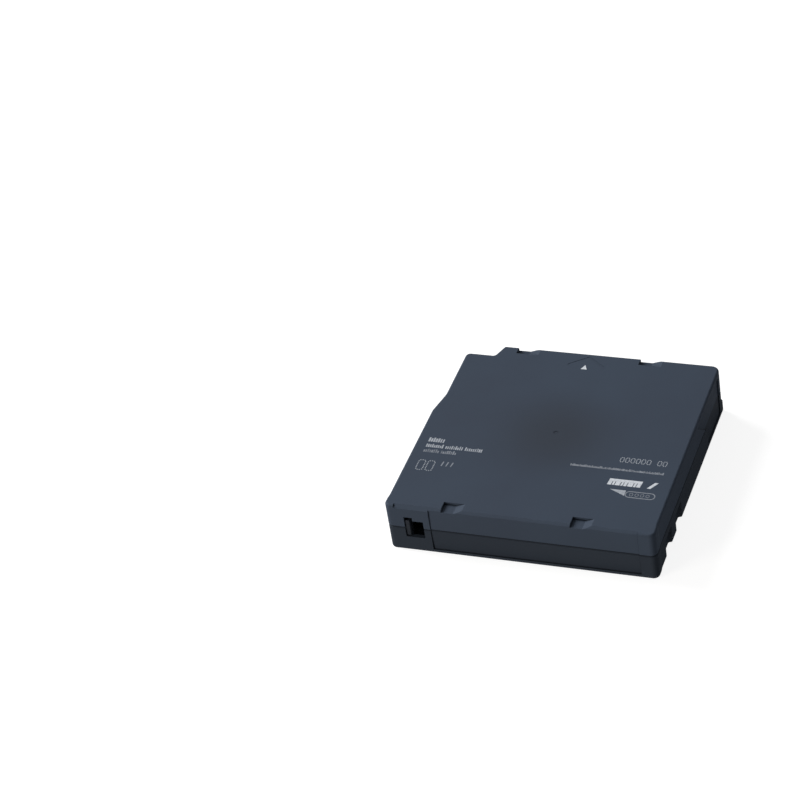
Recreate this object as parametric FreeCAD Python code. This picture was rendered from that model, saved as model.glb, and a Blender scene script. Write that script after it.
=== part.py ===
"""Half-inch data tape cartridge, single reel, with a sliding access door and a leader pin.

Millimetres. +X is the width, +Y the loading direction, +Z up. The origin is the centre of the
footprint, on the bottom face. The label end is at -Y and the end that enters the drive at +Y.
"""
import FreeCAD, Part
import math
import os

V = FreeCAD.Vector
X_AXIS, Y_AXIS, Z_AXIS = V(1, 0, 0), V(0, 1, 0), V(0, 0, 1)

# ---------------------------------------------------------------- case
case_width = 105.4
case_depth = 102.0
case_height = 21.5
parting_z = 11.0                # where the two shells meet
plate = 2.0                     # top and bottom plates
wall = 1.8                      # side walls
seam_chamfer = 0.5              # the groove along the parting line
seam_lip = 0.7                  # tongue inside the wall that lines the shells up
seam_lip_height = 0.9
seam_lip_clearance = 0.1
rim_radius = 0.9                # outer edge of the top and bottom plates

flange_length = 4.5             # full-width band at the label end
flange_taper = 2.0
side_relief = 0.25              # the rest of each side stands this far in
door_side_inset = 2.5           # left side beside the door, from the full width
door_side_length = 33.3         # from the end that enters the drive
door_side_ramp = 10.7           # ramp from the full side down to the door side
corner_setback = 6.4            # keying notch at the front left corner
corner_width = 14.3             # from the full width to the foot of its ramp
corner_ramp = 2.4

label_corner_radius = 2.4
front_corner_radius = 3.2       # front right corner, above its foot
foot_corner_radius = 1.2
foot_height = 5.0
ramp_radius = 7.0
key_radius = 1.2
door_corner_radius = 2.0

# label end
bevel_y = 1.5
bevel_z = 1.2
bevel_left = 3.7
label_left = 17.5               # from the left side
label_right = 6.4               # from the right side
label_recess = 0.3              # at the parting line
label_draft = 0.25              # deeper by this at both edges of the panel
label_ledge = 1.7               # ledge under the label

# shallow edge notches: a pair at each end of the top and one under the front end
notch_starts = (22.6, 73.0)     # square wall of each of a pair, from the left side
notch_width = 4.8               # level floor, beside the ramp
label_notch_depth, label_notch_drop, label_notch_ramp = 5.4, 1.2, 3.4
front_notch_depth, front_notch_drop, front_notch_ramp = 4.0, 1.7, 4.4
foot_notch_drop = 1.2
notch_roof = 1.0                # least plate over the hollow, under a notch

# handling notches in both sides of the bottom shell
grip_starts = (12.7, 27.3)      # from the label end
grip_length = 8.6
grip_depth = 1.6
grip_height = 8.0
grip_backing = 1.9
grip_radius = 0.9

# shallow relief on the right side, near the drive end
relief_depth = 0.5
relief_high, relief_low, relief_end = 37.0, 24.5, 5.0      # from the end that enters the drive
relief_top_drop = 2.1           # below the top
relief_knee_z, relief_bottom_z = 8.8, 2.0

# loading arrow on the top
arrow_tip_gap = 1.8             # from the end that enters the drive
arrow_half = 7.4
arrow_length = 5.6
arrow_stroke = 0.9
arrow_depth = 0.1

# gate mark over the reel
gate_radius = 0.9
gate_depth = 0.15

# ---------------------------------------------------------------- reel
reel_y = 1.0                    # reel axis, from the centre of the case
flange_thickness = 1.0
flange_edge = 1.5               # flange beyond the tape
reel_front_wall = 1.1           # least wall between the reel and the drive's end
reel_door_gap = 0.5             # between the flanges and the door
reel_rest_height = 1.1          # ring on the floor that the reel rests on
reel_ring_gap, reel_ring_wall = 1.2, 1.4   # ring round the spindle window
reel_ceiling_ring = 0.5
reel_float = 0.75               # gap over the upper flange
reel_room = 0.6                 # gap round the flanges
tape_side_gap = 0.25
hub_radius = 22.0
hub_wall = 2.2
hub_web = 2.0
hub_web_rise = 0.5              # web's underside over the flange's underside
upper_flange_step = 2.0         # its bore, inside the hub's bore
flange_lip = 1.2
flange_lip_height = 1.5
flange_lip_clearance = 0.1

window_margin = 1.0             # spindle window, beyond the hub
window_chamfer = 0.4
tooth_count = 60
tooth_tip, tooth_root = 0.6, 2.4   # half angles of a tooth, in degrees
tooth_run = 0.5                 # of the cutter beyond a tooth's ends
tooth_anchor = 0.2              # how far a toothed ring reaches into its base
drive_tooth_height = 1.3
drive_tooth_margin, drive_tooth_length = 0.7, 3.7      # from the hub's outside
brake_tooth_height = 1.0
brake_tooth_margin, brake_tooth_length = 2.8, 2.8      # from the hub's bore
brake_ring_rise = 0.5
tooth_clearance = 0.1

clutch_plate_inner = 5.0
clutch_plate_margin = 1.2       # inside the drive teeth
clutch_plate_thickness = 1.0
stake_circle = 11.0
stake_radius = 1.0
stake_clearance = 0.05

# ---------------------------------------------------------------- reel brake
arm_count = 3
arm_width = 5.0
arm_thickness = 0.9
arm_pocket = 0.5
pad_clearance = 0.2
pad_centre_radius = 6.5
pad_nub_radius = 2.0
pad_nub_round = 0.6
leg_thickness = 1.7
leg_width = 3.4
leg_recess = 0.5                # leg ends stand this far above the tooth tips

brake_disc_thickness = 1.5
brake_sleeve_radius = 6.4
brake_sleeve_gap = 4.0          # under the ceiling, with the brake down
spline_length = 4.6
spline_width = 2.2
spline_core = 2.6
spline_clearance = 0.2
spline_end_gap = 2.3            # from the post's end to the socket's floor

brake_spring_radius = 8.0
brake_spring_wire_radius = 0.45
brake_spring_turns = 4
spring_seat_gap = 0.35
spring_seat_wall = 1.0
spring_seat_height = 0.6

# ---------------------------------------------------------------- access door
door_thickness = 1.3
door_clearance = 0.15
door_outer_gap = 0.1            # outer face, inside the plates' edge
door_front_gap = 0.4            # front edge, behind the plates' edge
door_mouth_gap = 4.7            # rear end of the opening, behind the foot of the side's ramp
door_overlap = 2.5              # how far the rear of the shut door reaches behind the wall
door_travel = 15.5
door_room = 0.4                 # behind the door's inner face
door_tongue = 0.8
door_tongue_thickness = 0.6
door_spring_from_end = 13.0     # the spring's post, from the label end
door_tail_height = 3.6
door_tail_thickness = 1.0
door_tail_rise = 2.6            # its middle, above the parting line
door_grip_count = 4
door_grip_pitch = 1.6
door_grip_depth = 0.3
door_grip_width = 0.8
door_grip_start = 2.2           # from the door's front edge
door_grip_margin = 2.5          # above and below

door_spring_radius = 1.05
door_spring_wire_radius = 0.2
door_spring_turns = 9
door_spring_length = 24.0
spring_post_thickness = 1.2
spring_post_width = 3.0
spring_post_drop = 0.4          # below the spring

# ---------------------------------------------------------------- leader pin
pin_from_side, pin_from_front = 8.2, 13.5
pin_end_play = 0.1
pin_head_radius = 2.5
pin_head = 0.6
pin_neck_radius = 1.25
pin_neck = 0.7
pin_core_radius = 1.3
pin_collar = 0.4
pin_seat = 0.5                  # pad that each end of the pin stands on
pin_post_wall = 1.3
pin_post_height = 2.0
pin_clearance = 0.25
clip_thickness = 0.75
clip_slot = 0.7
clip_end_gap = 0.3
tape_thickness = 0.1
tape_lift = 0.25                # gap between the free end of the tape and the pack

pin_spring_thickness = 0.25
pin_spring_arm = 1.4
pin_spring_base_length = 5.0
pin_spring_ahead = 4.7          # ahead of the pin's axis
pin_spring_reach = 3.4          # right end of its base, beyond the foot of the corner's ramp
pin_spring_rib = 1.2

# ---------------------------------------------------------------- write-protect slider
window_left, window_right = 7.3, 14.9      # from the left side
window_bottom, window_top = 6.8, 14.7
window_step_width, window_step_height = 3.4, 1.6
slider_width = 6.7
slider_thickness = 1.2
slider_gap = 0.2
slider_left = 2.6               # from the left side
slider_headroom = 1.1           # under the ceiling
slider_foot = 3.6
slider_foot_height = 1.5
slider_nub_width = 1.8
slider_nub_bottom, slider_nub_top = 7.1, 14.3
slider_nub_round = 0.35
slider_nub_recess = 0.4         # nub's face, behind the label end
slider_strip = 0.7              # springy strip along the slider's top edge
slider_slot_height = 0.8
slider_slot_inset = 1.2
slider_travel = 5.4
slider_guide = 1.0
slider_guide_height = 3.4
sensing_from_side, sensing_from_end = 5.3, 4.4     # centre of the sensing hole
sensing_width, sensing_depth = 3.2, 2.0

# ---------------------------------------------------------------- fasteners and memory
screw_from_side, screw_from_end, screw_from_front = 9.2, 14.0, 11.0
key_screw_in, key_screw_back = 5.4, 5.8    # front left screw, from the foot of the corner's ramp
screw_radius = 1.0
screw_point = 1.5
screw_point_radius = 0.3
screw_headroom = 3.3            # from the point to the ceiling
screw_hole_end = 0.5            # hole beyond the point
screw_head_radius = 1.9
screw_head = 1.4
screw_head_round = 0.4
screw_seat_z = 3.2
screw_clearance = 0.2
screw_grip = 0.02
boss_radius = 3.0
boss_rib = 1.0                  # ribs from the bosses to the nearest wall
boss_rib_drop = 1.5             # below the parting line
recess_slot = 0.5
recess_depth = 0.7

locator_from_side, locator_from_end = 7.4, 23.6
locator_radius = 2.0
locator_slot = 2.0              # extra length of the slotted locator
locator_depth = 3.5
locator_wall = 1.4

memory_length = 18.0
memory_width = 9.0
memory_thickness = 0.8
memory_from_side = 15.7
memory_rib = 1.2
chip_size = 3.0
chip_thickness = 0.6

# ---------------------------------------------------------------- derived places
half_w = case_width / 2
half_d = case_depth / 2
side_x = half_w - side_relief
door_side_x = half_w - door_side_inset
ceiling_z = case_height - plate
floor_z = plate
label_y = -half_d
label_inner_y = label_y + wall
panel_left, panel_right = -half_w + label_left, half_w - label_right
ramp_end_y = half_d - door_side_length
ramp_start_y = ramp_end_y - door_side_ramp
key_y = half_d - corner_setback
key_x = -half_w + corner_width
relief_high_y, relief_low_y, relief_end_y = half_d - relief_high, half_d - relief_low, half_d - relief_end
relief_top_z = case_height - relief_top_drop
arrow_tip_y = half_d - arrow_tip_gap

door_outer_x = -door_side_x + door_outer_gap
door_inner_x = door_outer_x + door_thickness
door_mouth_y = ramp_end_y - door_mouth_gap
door_front_y = key_y - door_front_gap
door_rear_y = door_mouth_y - door_overlap
spring_post_y = label_y + door_spring_from_end
door_tail_y = spring_post_y + door_spring_length
door_tail_z = parting_z + door_tail_rise
tongue_x = door_inner_x - 0.05 - door_tongue_thickness
spring_axis_x = door_outer_x + door_spring_radius + door_spring_wire_radius

reel_radius = min(-door_inner_x - reel_door_gap, half_d - reel_y - reel_front_wall - reel_room)
tape_pack_radius = reel_radius - flange_edge
reel_bottom = plate + reel_rest_height
flange_top = reel_bottom + flange_thickness
reel_top = ceiling_z - reel_ceiling_ring - reel_float
upper_flange_z = reel_top - flange_thickness
tape_bottom = flange_top + tape_side_gap
tape_width = upper_flange_z - tape_side_gap - tape_bottom
web_bottom = reel_bottom + hub_web_rise
web_top = web_bottom + hub_web
hub_bore = hub_radius - hub_wall
upper_flange_bore = hub_bore - upper_flange_step
spindle_window = hub_radius + window_margin
reel_ring_inner = spindle_window + reel_ring_gap
reel_ring_outer = reel_ring_inner + reel_ring_wall
drive_tooth_outer = hub_radius - drive_tooth_margin
drive_tooth_inner = drive_tooth_outer - drive_tooth_length
brake_tooth_outer = hub_bore - brake_tooth_margin
brake_tooth_inner = brake_tooth_outer - brake_tooth_length
clutch_plate_outer = drive_tooth_inner - clutch_plate_margin
tooth_tips_z = web_bottom - drive_tooth_height

leg_inner = drive_tooth_inner
leg_outer = leg_inner + leg_thickness
arm_z = web_top - arm_pocket
brake_root_z = web_top + brake_ring_rise
brake_z = brake_root_z + brake_tooth_height + tooth_clearance
brake_top = brake_z + brake_disc_thickness
sleeve_top = ceiling_z - brake_sleeve_gap
post_end_z = brake_top + spline_end_gap

pin_x, pin_y = -half_w + pin_from_side, half_d - pin_from_front
pin_z = plate + pin_seat
pin_length = ceiling_z - pin_seat - pin_end_play - pin_z
pin_top = pin_z + pin_length
pin_spring_y = pin_y + pin_spring_ahead
post_bore = pin_head_radius + pin_clearance

slider_front_y = label_inner_y + slider_gap
slider_x = -half_w + slider_left
slider_top = ceiling_z - slider_headroom
sensing_x, sensing_y = -half_w + sensing_from_side, label_y + sensing_from_end

screw_x = half_w - screw_from_side
screw_y = label_y + screw_from_end
screw_places = {"front_left": (key_x + key_screw_in, half_d - key_screw_back),
                "front_right": (screw_x, half_d - screw_from_front),
                "rear_left": (-screw_x, screw_y), "rear_right": (screw_x, screw_y)}
screw_end_z = ceiling_z - screw_headroom
locator_x, locator_y = half_w - locator_from_side, label_y + locator_from_end
memory_x = half_w - memory_from_side


# ---------------------------------------------------------------- helpers
def box(x0, y0, z0, x1, y1, z1):
    """A block between two corners."""
    return Part.makeBox(x1 - x0, y1 - y0, z1 - z0, V(x0, y0, z0))


def cylinder(x, y, z0, z1, radius):
    """An upright cylinder."""
    return Part.makeCylinder(radius, z1 - z0, V(x, y, z0))


def ring(x, y, z0, z1, inner, outer):
    """An upright tube."""
    return cylinder(x, y, z0, z1, outer).cut(cylinder(x, y, z0, z1, inner))


def rounded_wire(corners, z=0.0):
    """A closed wire through corners (x, y, radius), each rounded by its own tangent arc."""
    edges, starts, ends = [], [], []
    count = len(corners)
    for i, (x, y, radius) in enumerate(corners):
        here = V(x, y, z)
        back = V(corners[i - 1][0], corners[i - 1][1], z) - here
        ahead = V(corners[(i + 1) % count][0], corners[(i + 1) % count][1], z) - here
        back.normalize()
        ahead.normalize()
        if radius <= 0:
            starts.append(here)
            ends.append(here)
            edges.append(None)
            continue
        half = back.getAngle(ahead) / 2
        reach = radius / math.tan(half)
        bisector = back + ahead
        bisector.normalize()
        centre = here + bisector * (radius / math.sin(half))
        start, end = here + back * reach, here + ahead * reach
        middle = centre - bisector * radius
        starts.append(start)
        ends.append(end)
        edges.append(Part.Arc(start, middle, end).toShape())
    chain = []
    for i in range(count):
        if edges[i] is not None:
            chain.append(edges[i])
        chain.append(Part.makeLine(ends[i], starts[(i + 1) % count]))
    return Part.Wire(chain)


def prism(corners, z0, z1):
    """An upright prism over corners (x, y, radius)."""
    return Part.Face(rounded_wire(corners, z0)).extrude(V(0, 0, z1 - z0))


def inset_corners(corners, distance):
    """The same outline moved in by distance: convex corners keep a small radius."""
    moved = []
    count = len(corners)
    for i, (x, y, radius) in enumerate(corners):
        x0, y0, _ = corners[i - 1]
        x1, y1, _ = corners[(i + 1) % count]
        a = V(x - x0, y - y0, 0)
        b = V(x1 - x, y1 - y, 0)
        a.normalize()
        b.normalize()
        normal_a, normal_b = V(-a.y, a.x, 0), V(-b.y, b.x, 0)
        mitre = normal_a + normal_b
        mitre = mitre * (distance / (1 + normal_a.dot(normal_b)))
        convex = a.cross(b).z > 0
        new_radius = max(radius - distance, 0.3) if convex else radius + distance
        moved.append((x + mitre.x, y + mitre.y, new_radius))
    return moved


def profile_along(points, axis, start, length):
    """A prism along X or Y over points given in the two other coordinates."""
    if axis == "x":
        corners = [V(start, y, z) for y, z in points]
        direction = X_AXIS
    else:
        corners = [V(x, start, z) for x, z in points]
        direction = Y_AXIS
    face = Part.Face(Part.makePolygon(corners + [corners[0]]))
    return face.extrude(direction * length)


def ribbon(points, thickness, z0, z1):
    """A thin upright strip along a line of (x, y) points, mitred at its bends."""
    left, right = [], []
    count = len(points)
    for i, (x, y) in enumerate(points):
        normals = []
        if i > 0:
            d = V(x - points[i - 1][0], y - points[i - 1][1], 0)
            normals.append(V(-d.y, d.x, 0).normalize())
        if i < count - 1:
            d = V(points[i + 1][0] - x, points[i + 1][1] - y, 0)
            normals.append(V(-d.y, d.x, 0).normalize())
        normal = normals[0]
        if len(normals) == 2:
            normal = (normals[0] + normals[1]) * (1 / (1 + normals[0].dot(normals[1])))
        left.append(V(x, y, z0) + normal * (thickness / 2))
        right.append(V(x, y, z0) - normal * (thickness / 2))
    loop = left + right[::-1]
    return Part.Face(Part.makePolygon(loop + [loop[0]])).extrude(V(0, 0, z1 - z0))


def coil(radius, wire, length, turns):
    """A round-wire spring up from the origin, length long over its wire."""
    path = Part.makeHelix((length - 2 * wire) / turns, length - 2 * wire, radius)
    section = Part.Wire(Part.makeCircle(wire, V(radius, 0, 0), Y_AXIS))
    sweep = Part.Wire(path.Edges).makePipeShell([section], True, True)
    sweep.translate(V(0, 0, wire))
    return sweep


def tooth_spaces(count, inner, outer, z_narrow, z_wide):
    """Radial wedges round the origin that cut the spaces of a face gear, with one at angle 0.

    Each is narrow at z_narrow and wide at z_wide.
    """
    pitch = 180.0 / count
    narrow = math.radians(pitch - tooth_root)
    wide = math.radians(pitch - tooth_tip)
    overrun = 0.2 * (z_wide - z_narrow)
    grow = (wide - narrow) * 0.2

    def section(radius):
        mouth = wide + grow
        return Part.makePolygon([
            V(radius, -radius * math.tan(narrow), z_narrow),
            V(radius, radius * math.tan(narrow), z_narrow),
            V(radius, radius * math.tan(mouth), z_wide + overrun),
            V(radius, -radius * math.tan(mouth), z_wide + overrun),
            V(radius, -radius * math.tan(narrow), z_narrow)])

    wedge = Part.makeLoft([section(inner), section(outer)], True, True)
    copies = []
    for i in range(count):
        turned = wedge.copy()
        turned.rotate(V(0, 0, 0), Z_AXIS, 360.0 * i / count)
        copies.append(turned)
    return Part.makeCompound(copies)


def at_reel(shape):
    """Moves a shape built round the Z axis to the reel's axis."""
    shape.translate(V(0, reel_y, 0))
    return shape


def turned_copies(shape, count):
    """Count copies of a shape, evenly spaced round the Z axis."""
    copies = []
    for i in range(count):
        turned = shape.copy()
        turned.rotate(V(0, 0, 0), Z_AXIS, 360.0 * i / count)
        copies.append(turned)
    return copies


def mirrored(shape):
    """The shape on the other side of the case."""
    return shape.mirror(V(0, 0, 0), X_AXIS)


# ---------------------------------------------------------------- case shells
def case_corners(corner_radius=front_corner_radius):
    """Plan of the case, counter-clockwise from the left corner of the label end."""
    flange_y = label_y + flange_length
    taper_y = flange_y + flange_taper
    return [
        (-half_w, label_y, label_corner_radius),
        (half_w, label_y, label_corner_radius),
        (half_w, flange_y, 0),
        (side_x, taper_y, 0),
        (side_x, half_d, corner_radius),
        (key_x + corner_ramp, half_d, key_radius),
        (key_x, key_y, key_radius),
        (-door_side_x, key_y, door_corner_radius),
        (-door_side_x, ramp_end_y, ramp_radius),
        (-side_x, ramp_start_y, ramp_radius),
        (-side_x, taper_y, 0),
        (-half_w, flange_y, 0),
    ]


def edges_at(shape, z):
    """Edges of a shape that lie in one level plane."""
    return [e for e in shape.Edges if all(abs(v.Z - z) < 1e-6 for v in e.Vertexes)]


def outer_block(z0, z1, rim_z):
    """Solid block of one shell, with its rim rounded at rim_z and chamfered at the parting line."""
    block = prism(case_corners(), z0, z1)
    block = block.makeFillet(rim_radius, edges_at(block, rim_z))
    return block.makeChamfer(seam_chamfer, edges_at(block, parting_z))


def corner_foot():
    """Foot of the front right corner, squarer than the rest of it."""
    foot = prism(case_corners(foot_corner_radius), 0, foot_height)
    foot = foot.makeFillet(rim_radius, edges_at(foot, 0))
    reach = 2 * front_corner_radius
    return foot.common(box(side_x - reach, half_d - reach, 0, half_w + 1, half_d + 1, foot_height))


def edge_notches(face_z, inward, drop, ramp, y0, depth):
    """A pair of notches in one plate, with a square wall at the left and a ramp at the right."""
    cuts = []
    for left in (start - half_w for start in notch_starts):
        floor_right = left + notch_width
        floor, out = face_z + inward * drop, face_z - inward
        outline = [(left, floor), (floor_right, floor), (floor_right + ramp, face_z),
                   (floor_right + ramp, out), (left, out)]
        cuts.append(profile_along(outline, "y", y0, depth))
    return cuts


def notch_roofs():
    """Pads that thicken the top plate under the front notches."""
    low = case_height - front_notch_drop - notch_roof
    y0, y1 = half_d - front_notch_depth - notch_roof, half_d - wall + 0.1
    length = notch_width + front_notch_ramp
    return [box(left - notch_roof, y0, low, left + length, y1, ceiling_z)
            for left in (start - half_w for start in notch_starts)]


def label_bevel():
    """Bevel along the top of the label end."""
    outline = [(label_y - 1, case_height - bevel_z * (1 + 1 / bevel_y)), (label_y + bevel_y, case_height),
               (label_y + bevel_y, case_height + 1), (label_y - 1, case_height + 1)]
    left = -half_w + bevel_left
    return profile_along(outline, "x", left, panel_right - left)


def cavity(z0, z1):
    """Inside of the case between the walls, with room for the reel's flanges."""
    room = cylinder(0, reel_y, z0, z1, reel_radius + reel_room)
    return prism(inset_corners(case_corners(), wall), z0, z1).fuse(room)


def seam_tongue(clearance):
    """Upright lip inside the walls at the parting line, grown by a clearance."""
    outer = prism(inset_corners(case_corners(), wall - seam_lip - clearance),
                  parting_z - seam_lip + clearance, parting_z + seam_lip_height + clearance)
    return outer.cut(cavity(0, case_height))


def label_panel():
    """Shallow recess of the label, open at the top, with draft both ways from the parting line."""
    middle_y = label_y + label_recess
    edge_y = middle_y + label_draft
    outline = [(label_y - 1, label_ledge), (edge_y, label_ledge), (middle_y, parting_z),
               (edge_y, case_height + 1), (label_y - 1, case_height + 1)]
    groove = [(middle_y - seam_chamfer, parting_z - 2 * seam_chamfer), (middle_y + seam_chamfer, parting_z),
              (middle_y - seam_chamfer, parting_z + 2 * seam_chamfer)]
    length = panel_right - panel_left
    return profile_along(outline, "x", panel_left, length).fuse(
        profile_along(groove, "x", panel_left, length))


def slider_window():
    """Stepped opening of the write-protect slider, through the wall of the label end."""
    left, right = -half_w + window_left, -half_w + window_right
    step = left + window_step_width
    top = window_top + window_step_height
    outline = [(left, window_bottom), (right, window_bottom), (right, window_top),
               (step, window_top), (step, top), (left, top)]
    return profile_along(outline, "y", label_y - 1, wall + 2)


def right_relief():
    """Shallow panel on the right side with a slanting rear edge."""
    outline = [(relief_high_y, relief_top_z), (relief_low_y, relief_knee_z),
               (relief_low_y, relief_bottom_z), (relief_end_y, relief_bottom_z),
               (relief_end_y, relief_top_z)]
    return profile_along(outline, "x", side_x - relief_depth, relief_depth + 1)


def grip_notches():
    """Handling notches in both sides, open at the bottom."""
    cuts = []
    for start in (label_y + from_end for from_end in grip_starts):
        end = start + grip_length
        notch = prism([(side_x - grip_depth, start, grip_radius), (half_w + 2, start, 0),
                       (half_w + 2, end, 0), (side_x - grip_depth, end, grip_radius)],
                      -1, grip_height)
        cuts += [notch, mirrored(notch)]
    return cuts


def grip_backings():
    """Thicker wall behind each handling notch."""
    inner = side_x - wall
    blocks = []
    for start in (label_y + from_end for from_end in grip_starts):
        block = box(inner - grip_backing, start - wall, floor_z,
                    inner + 0.1, start + grip_length + wall, grip_height + plate / 2)
        blocks += [block, mirrored(block)]
    return blocks


def door_passage():
    """Opening in the left side for the door, and the pocket behind the wall that it slides into."""
    inner_x = door_inner_x + door_room
    mouth = box(-half_w - 1, door_mouth_y, plate, inner_x, key_y + 1, ceiling_z)
    pocket = box(door_outer_x - door_clearance, ramp_start_y - door_travel, plate,
                 inner_x, door_mouth_y + 1, ceiling_z)
    return mouth.fuse(pocket)


def door_groove(z0, z1):
    """Guide groove of the door in one plate."""
    return box(tongue_x - door_clearance, door_rear_y - door_travel - 0.5, z0,
               tongue_x + door_tongue_thickness + door_clearance, key_y - door_clearance, z1)


def pin_post(z0, z1):
    """Half-round post that holds one end of the leader pin, open towards the door."""
    post = cylinder(pin_x, pin_y, z0, z1, post_bore + pin_post_wall)
    post = post.cut(cylinder(pin_x, pin_y, z0, z1, post_bore))
    return post.cut(box(pin_x - 10, pin_y - 10, z0 - 1, pin_x - 0.4, pin_y + 10, z1 + 1))


def pin_pad(z0, z1):
    """Flat seat at one end of the leader pin."""
    return cylinder(pin_x, pin_y, z0, z1, post_bore + 0.2)


def pin_spring_slot(z0, z1):
    """Two ribs that pinch the base of the leader pin's spring against the front wall."""
    base_right = key_x + pin_spring_reach
    base_left = base_right - pin_spring_base_length
    gap = pin_spring_thickness / 2 + 0.05
    inner_y = pin_spring_y - gap
    behind = box(base_left, inner_y - pin_spring_rib, z0, base_right, inner_y, z1)
    ahead = box(base_left, pin_spring_y + gap, z0, base_right, key_y - wall + 0.2, z1)
    return behind.fuse(ahead)


def memory_ribs():
    """Two gussets with a 45 degree face in the rear corner, and a stop at each end of the board."""
    reach = memory_width / math.sqrt(2)
    y0, z0 = label_inner_y, floor_z
    outline = [(y0, z0), (y0 + reach, z0), (y0, z0 + reach)]
    parts = []
    for side in (-1, 1):
        x = memory_x + side * (memory_length / 2 - 2)
        parts.append(profile_along(outline, "x", x - memory_rib / 2, memory_rib))
        stop = memory_x + side * (memory_length / 2 + 0.1 + memory_rib / 2)
        high = [(y0, z0), (y0 + reach + 1, z0), (y0 + reach + 1, z0 + 1.2),
                (y0 + 1.2, z0 + reach + 1.2), (y0, z0 + reach + 1.2)]
        parts.append(profile_along(high, "x", stop - memory_rib / 2, memory_rib))
    return parts


def boss_ribs(z0, z1):
    """Ribs that tie three of the screw bosses to the walls."""
    half = boss_rib / 2
    inner_x, inner_y = side_x - wall, half_d - wall
    (left_x, left_y), (front_x, front_y) = screw_places["front_left"], screw_places["front_right"]
    rear_x, rear_y = screw_places["rear_right"]
    return [box(left_x - half, left_y, z0, left_x + half, inner_y + 0.1, z1),
            box(front_x, front_y - half, z0, inner_x + 0.1, front_y + half, z1),
            box(rear_x, rear_y - half, z0, inner_x + 0.1, rear_y + half, z1)]


def locator_bodies():
    """Bosses of the two locators and the holes in them: round at the right, slotted at the left."""
    top = locator_depth + 1.2
    boss_r = locator_radius + locator_wall
    round_boss = cylinder(locator_x, locator_y, floor_z, top, boss_r)
    round_hole = cylinder(locator_x, locator_y, -1, locator_depth, locator_radius)
    half = locator_slot / 2

    def slot(radius, z0, z1):
        middle = box(-locator_x - half, locator_y - radius, z0, -locator_x + half, locator_y + radius, z1)
        ends = [cylinder(-locator_x + s * half, locator_y, z0, z1, radius) for s in (-1, 1)]
        return middle.fuse(ends).removeSplitter()

    return [round_boss, slot(boss_r, floor_z, top)], [round_hole, slot(locator_radius, -1, locator_depth)]


def make_bottom_shell():
    """Lower half of the case, with the spindle window and everything that stands on the floor."""
    shell = outer_block(0, parting_z, 0).fuse(corner_foot()).removeSplitter()
    shell = shell.cut(cavity(plate, parting_z + 1)).fuse(seam_tongue(0))
    locator_bosses, locator_holes = locator_bodies()
    ribs = grip_backings() + memory_ribs() + locator_bosses + boss_ribs(floor_z, parting_z - boss_rib_drop)
    ribs.append(ring(0, reel_y, floor_z, reel_bottom, reel_ring_inner, reel_ring_outer))
    ribs.append(pin_post(floor_z, floor_z + pin_post_height))
    ribs.append(pin_pad(floor_z, pin_z))
    ribs.append(pin_spring_slot(floor_z, floor_z + pin_post_height))
    guide_y = slider_front_y + slider_foot + slider_gap
    ribs.append(box(-side_x + wall - 0.1, guide_y, floor_z,
                    slider_x + slider_width + slider_travel + 0.6, guide_y + slider_guide,
                    floor_z + slider_guide_height))
    for x, y in screw_places.values():
        ribs.append(cylinder(x, y, floor_z, parting_z, boss_radius))
    shell = shell.fuse(ribs).removeSplitter()
    cuts = grip_notches() + locator_holes
    cuts += edge_notches(0, 1, foot_notch_drop, front_notch_ramp, half_d - front_notch_depth,
                         front_notch_depth + 1)
    cuts += [label_panel(), slider_window(), right_relief(), door_passage()]
    cuts.append(door_groove(plate - door_tongue - 0.1, plate + 0.1))
    cuts.append(cylinder(0, reel_y, -1, plate + 1, spindle_window))
    cuts.append(Part.makeCone(spindle_window + window_chamfer, spindle_window, window_chamfer,
                              V(0, reel_y, 0)))
    cuts.append(box(sensing_x - sensing_width / 2, sensing_y - sensing_depth / 2, -1,
                    sensing_x + sensing_width / 2, sensing_y + sensing_depth / 2, plate + 1))
    for x, y in screw_places.values():
        cuts.append(cylinder(x, y, -1, parting_z + 1, screw_radius + screw_clearance))
        cuts.append(cylinder(x, y, -1, screw_seat_z, screw_head_radius + 2 * screw_clearance))
    return shell.cut(cuts)


def spline_post(length, width, core, z0, z1):
    """Cross-shaped post round the Z axis."""
    bars = [box(-length, -width / 2, z0, length, width / 2, z1),
            box(-width / 2, -length, z0, width / 2, length, z1)]
    return cylinder(0, 0, z0, z1, core).fuse(bars).removeSplitter()


def arrow_mark():
    """Sunk chevron that points into the drive."""
    tip, base = arrow_tip_y, arrow_tip_y - arrow_length
    inner = arrow_stroke * math.hypot(arrow_half, arrow_length) / arrow_half
    corners = [(-arrow_half, base, 0), (-arrow_half, base - inner, 0), (0, tip - inner, 0),
               (arrow_half, base - inner, 0), (arrow_half, base, 0), (0, tip, 0)]
    return prism(corners, case_height - arrow_depth, case_height + 1)


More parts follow.
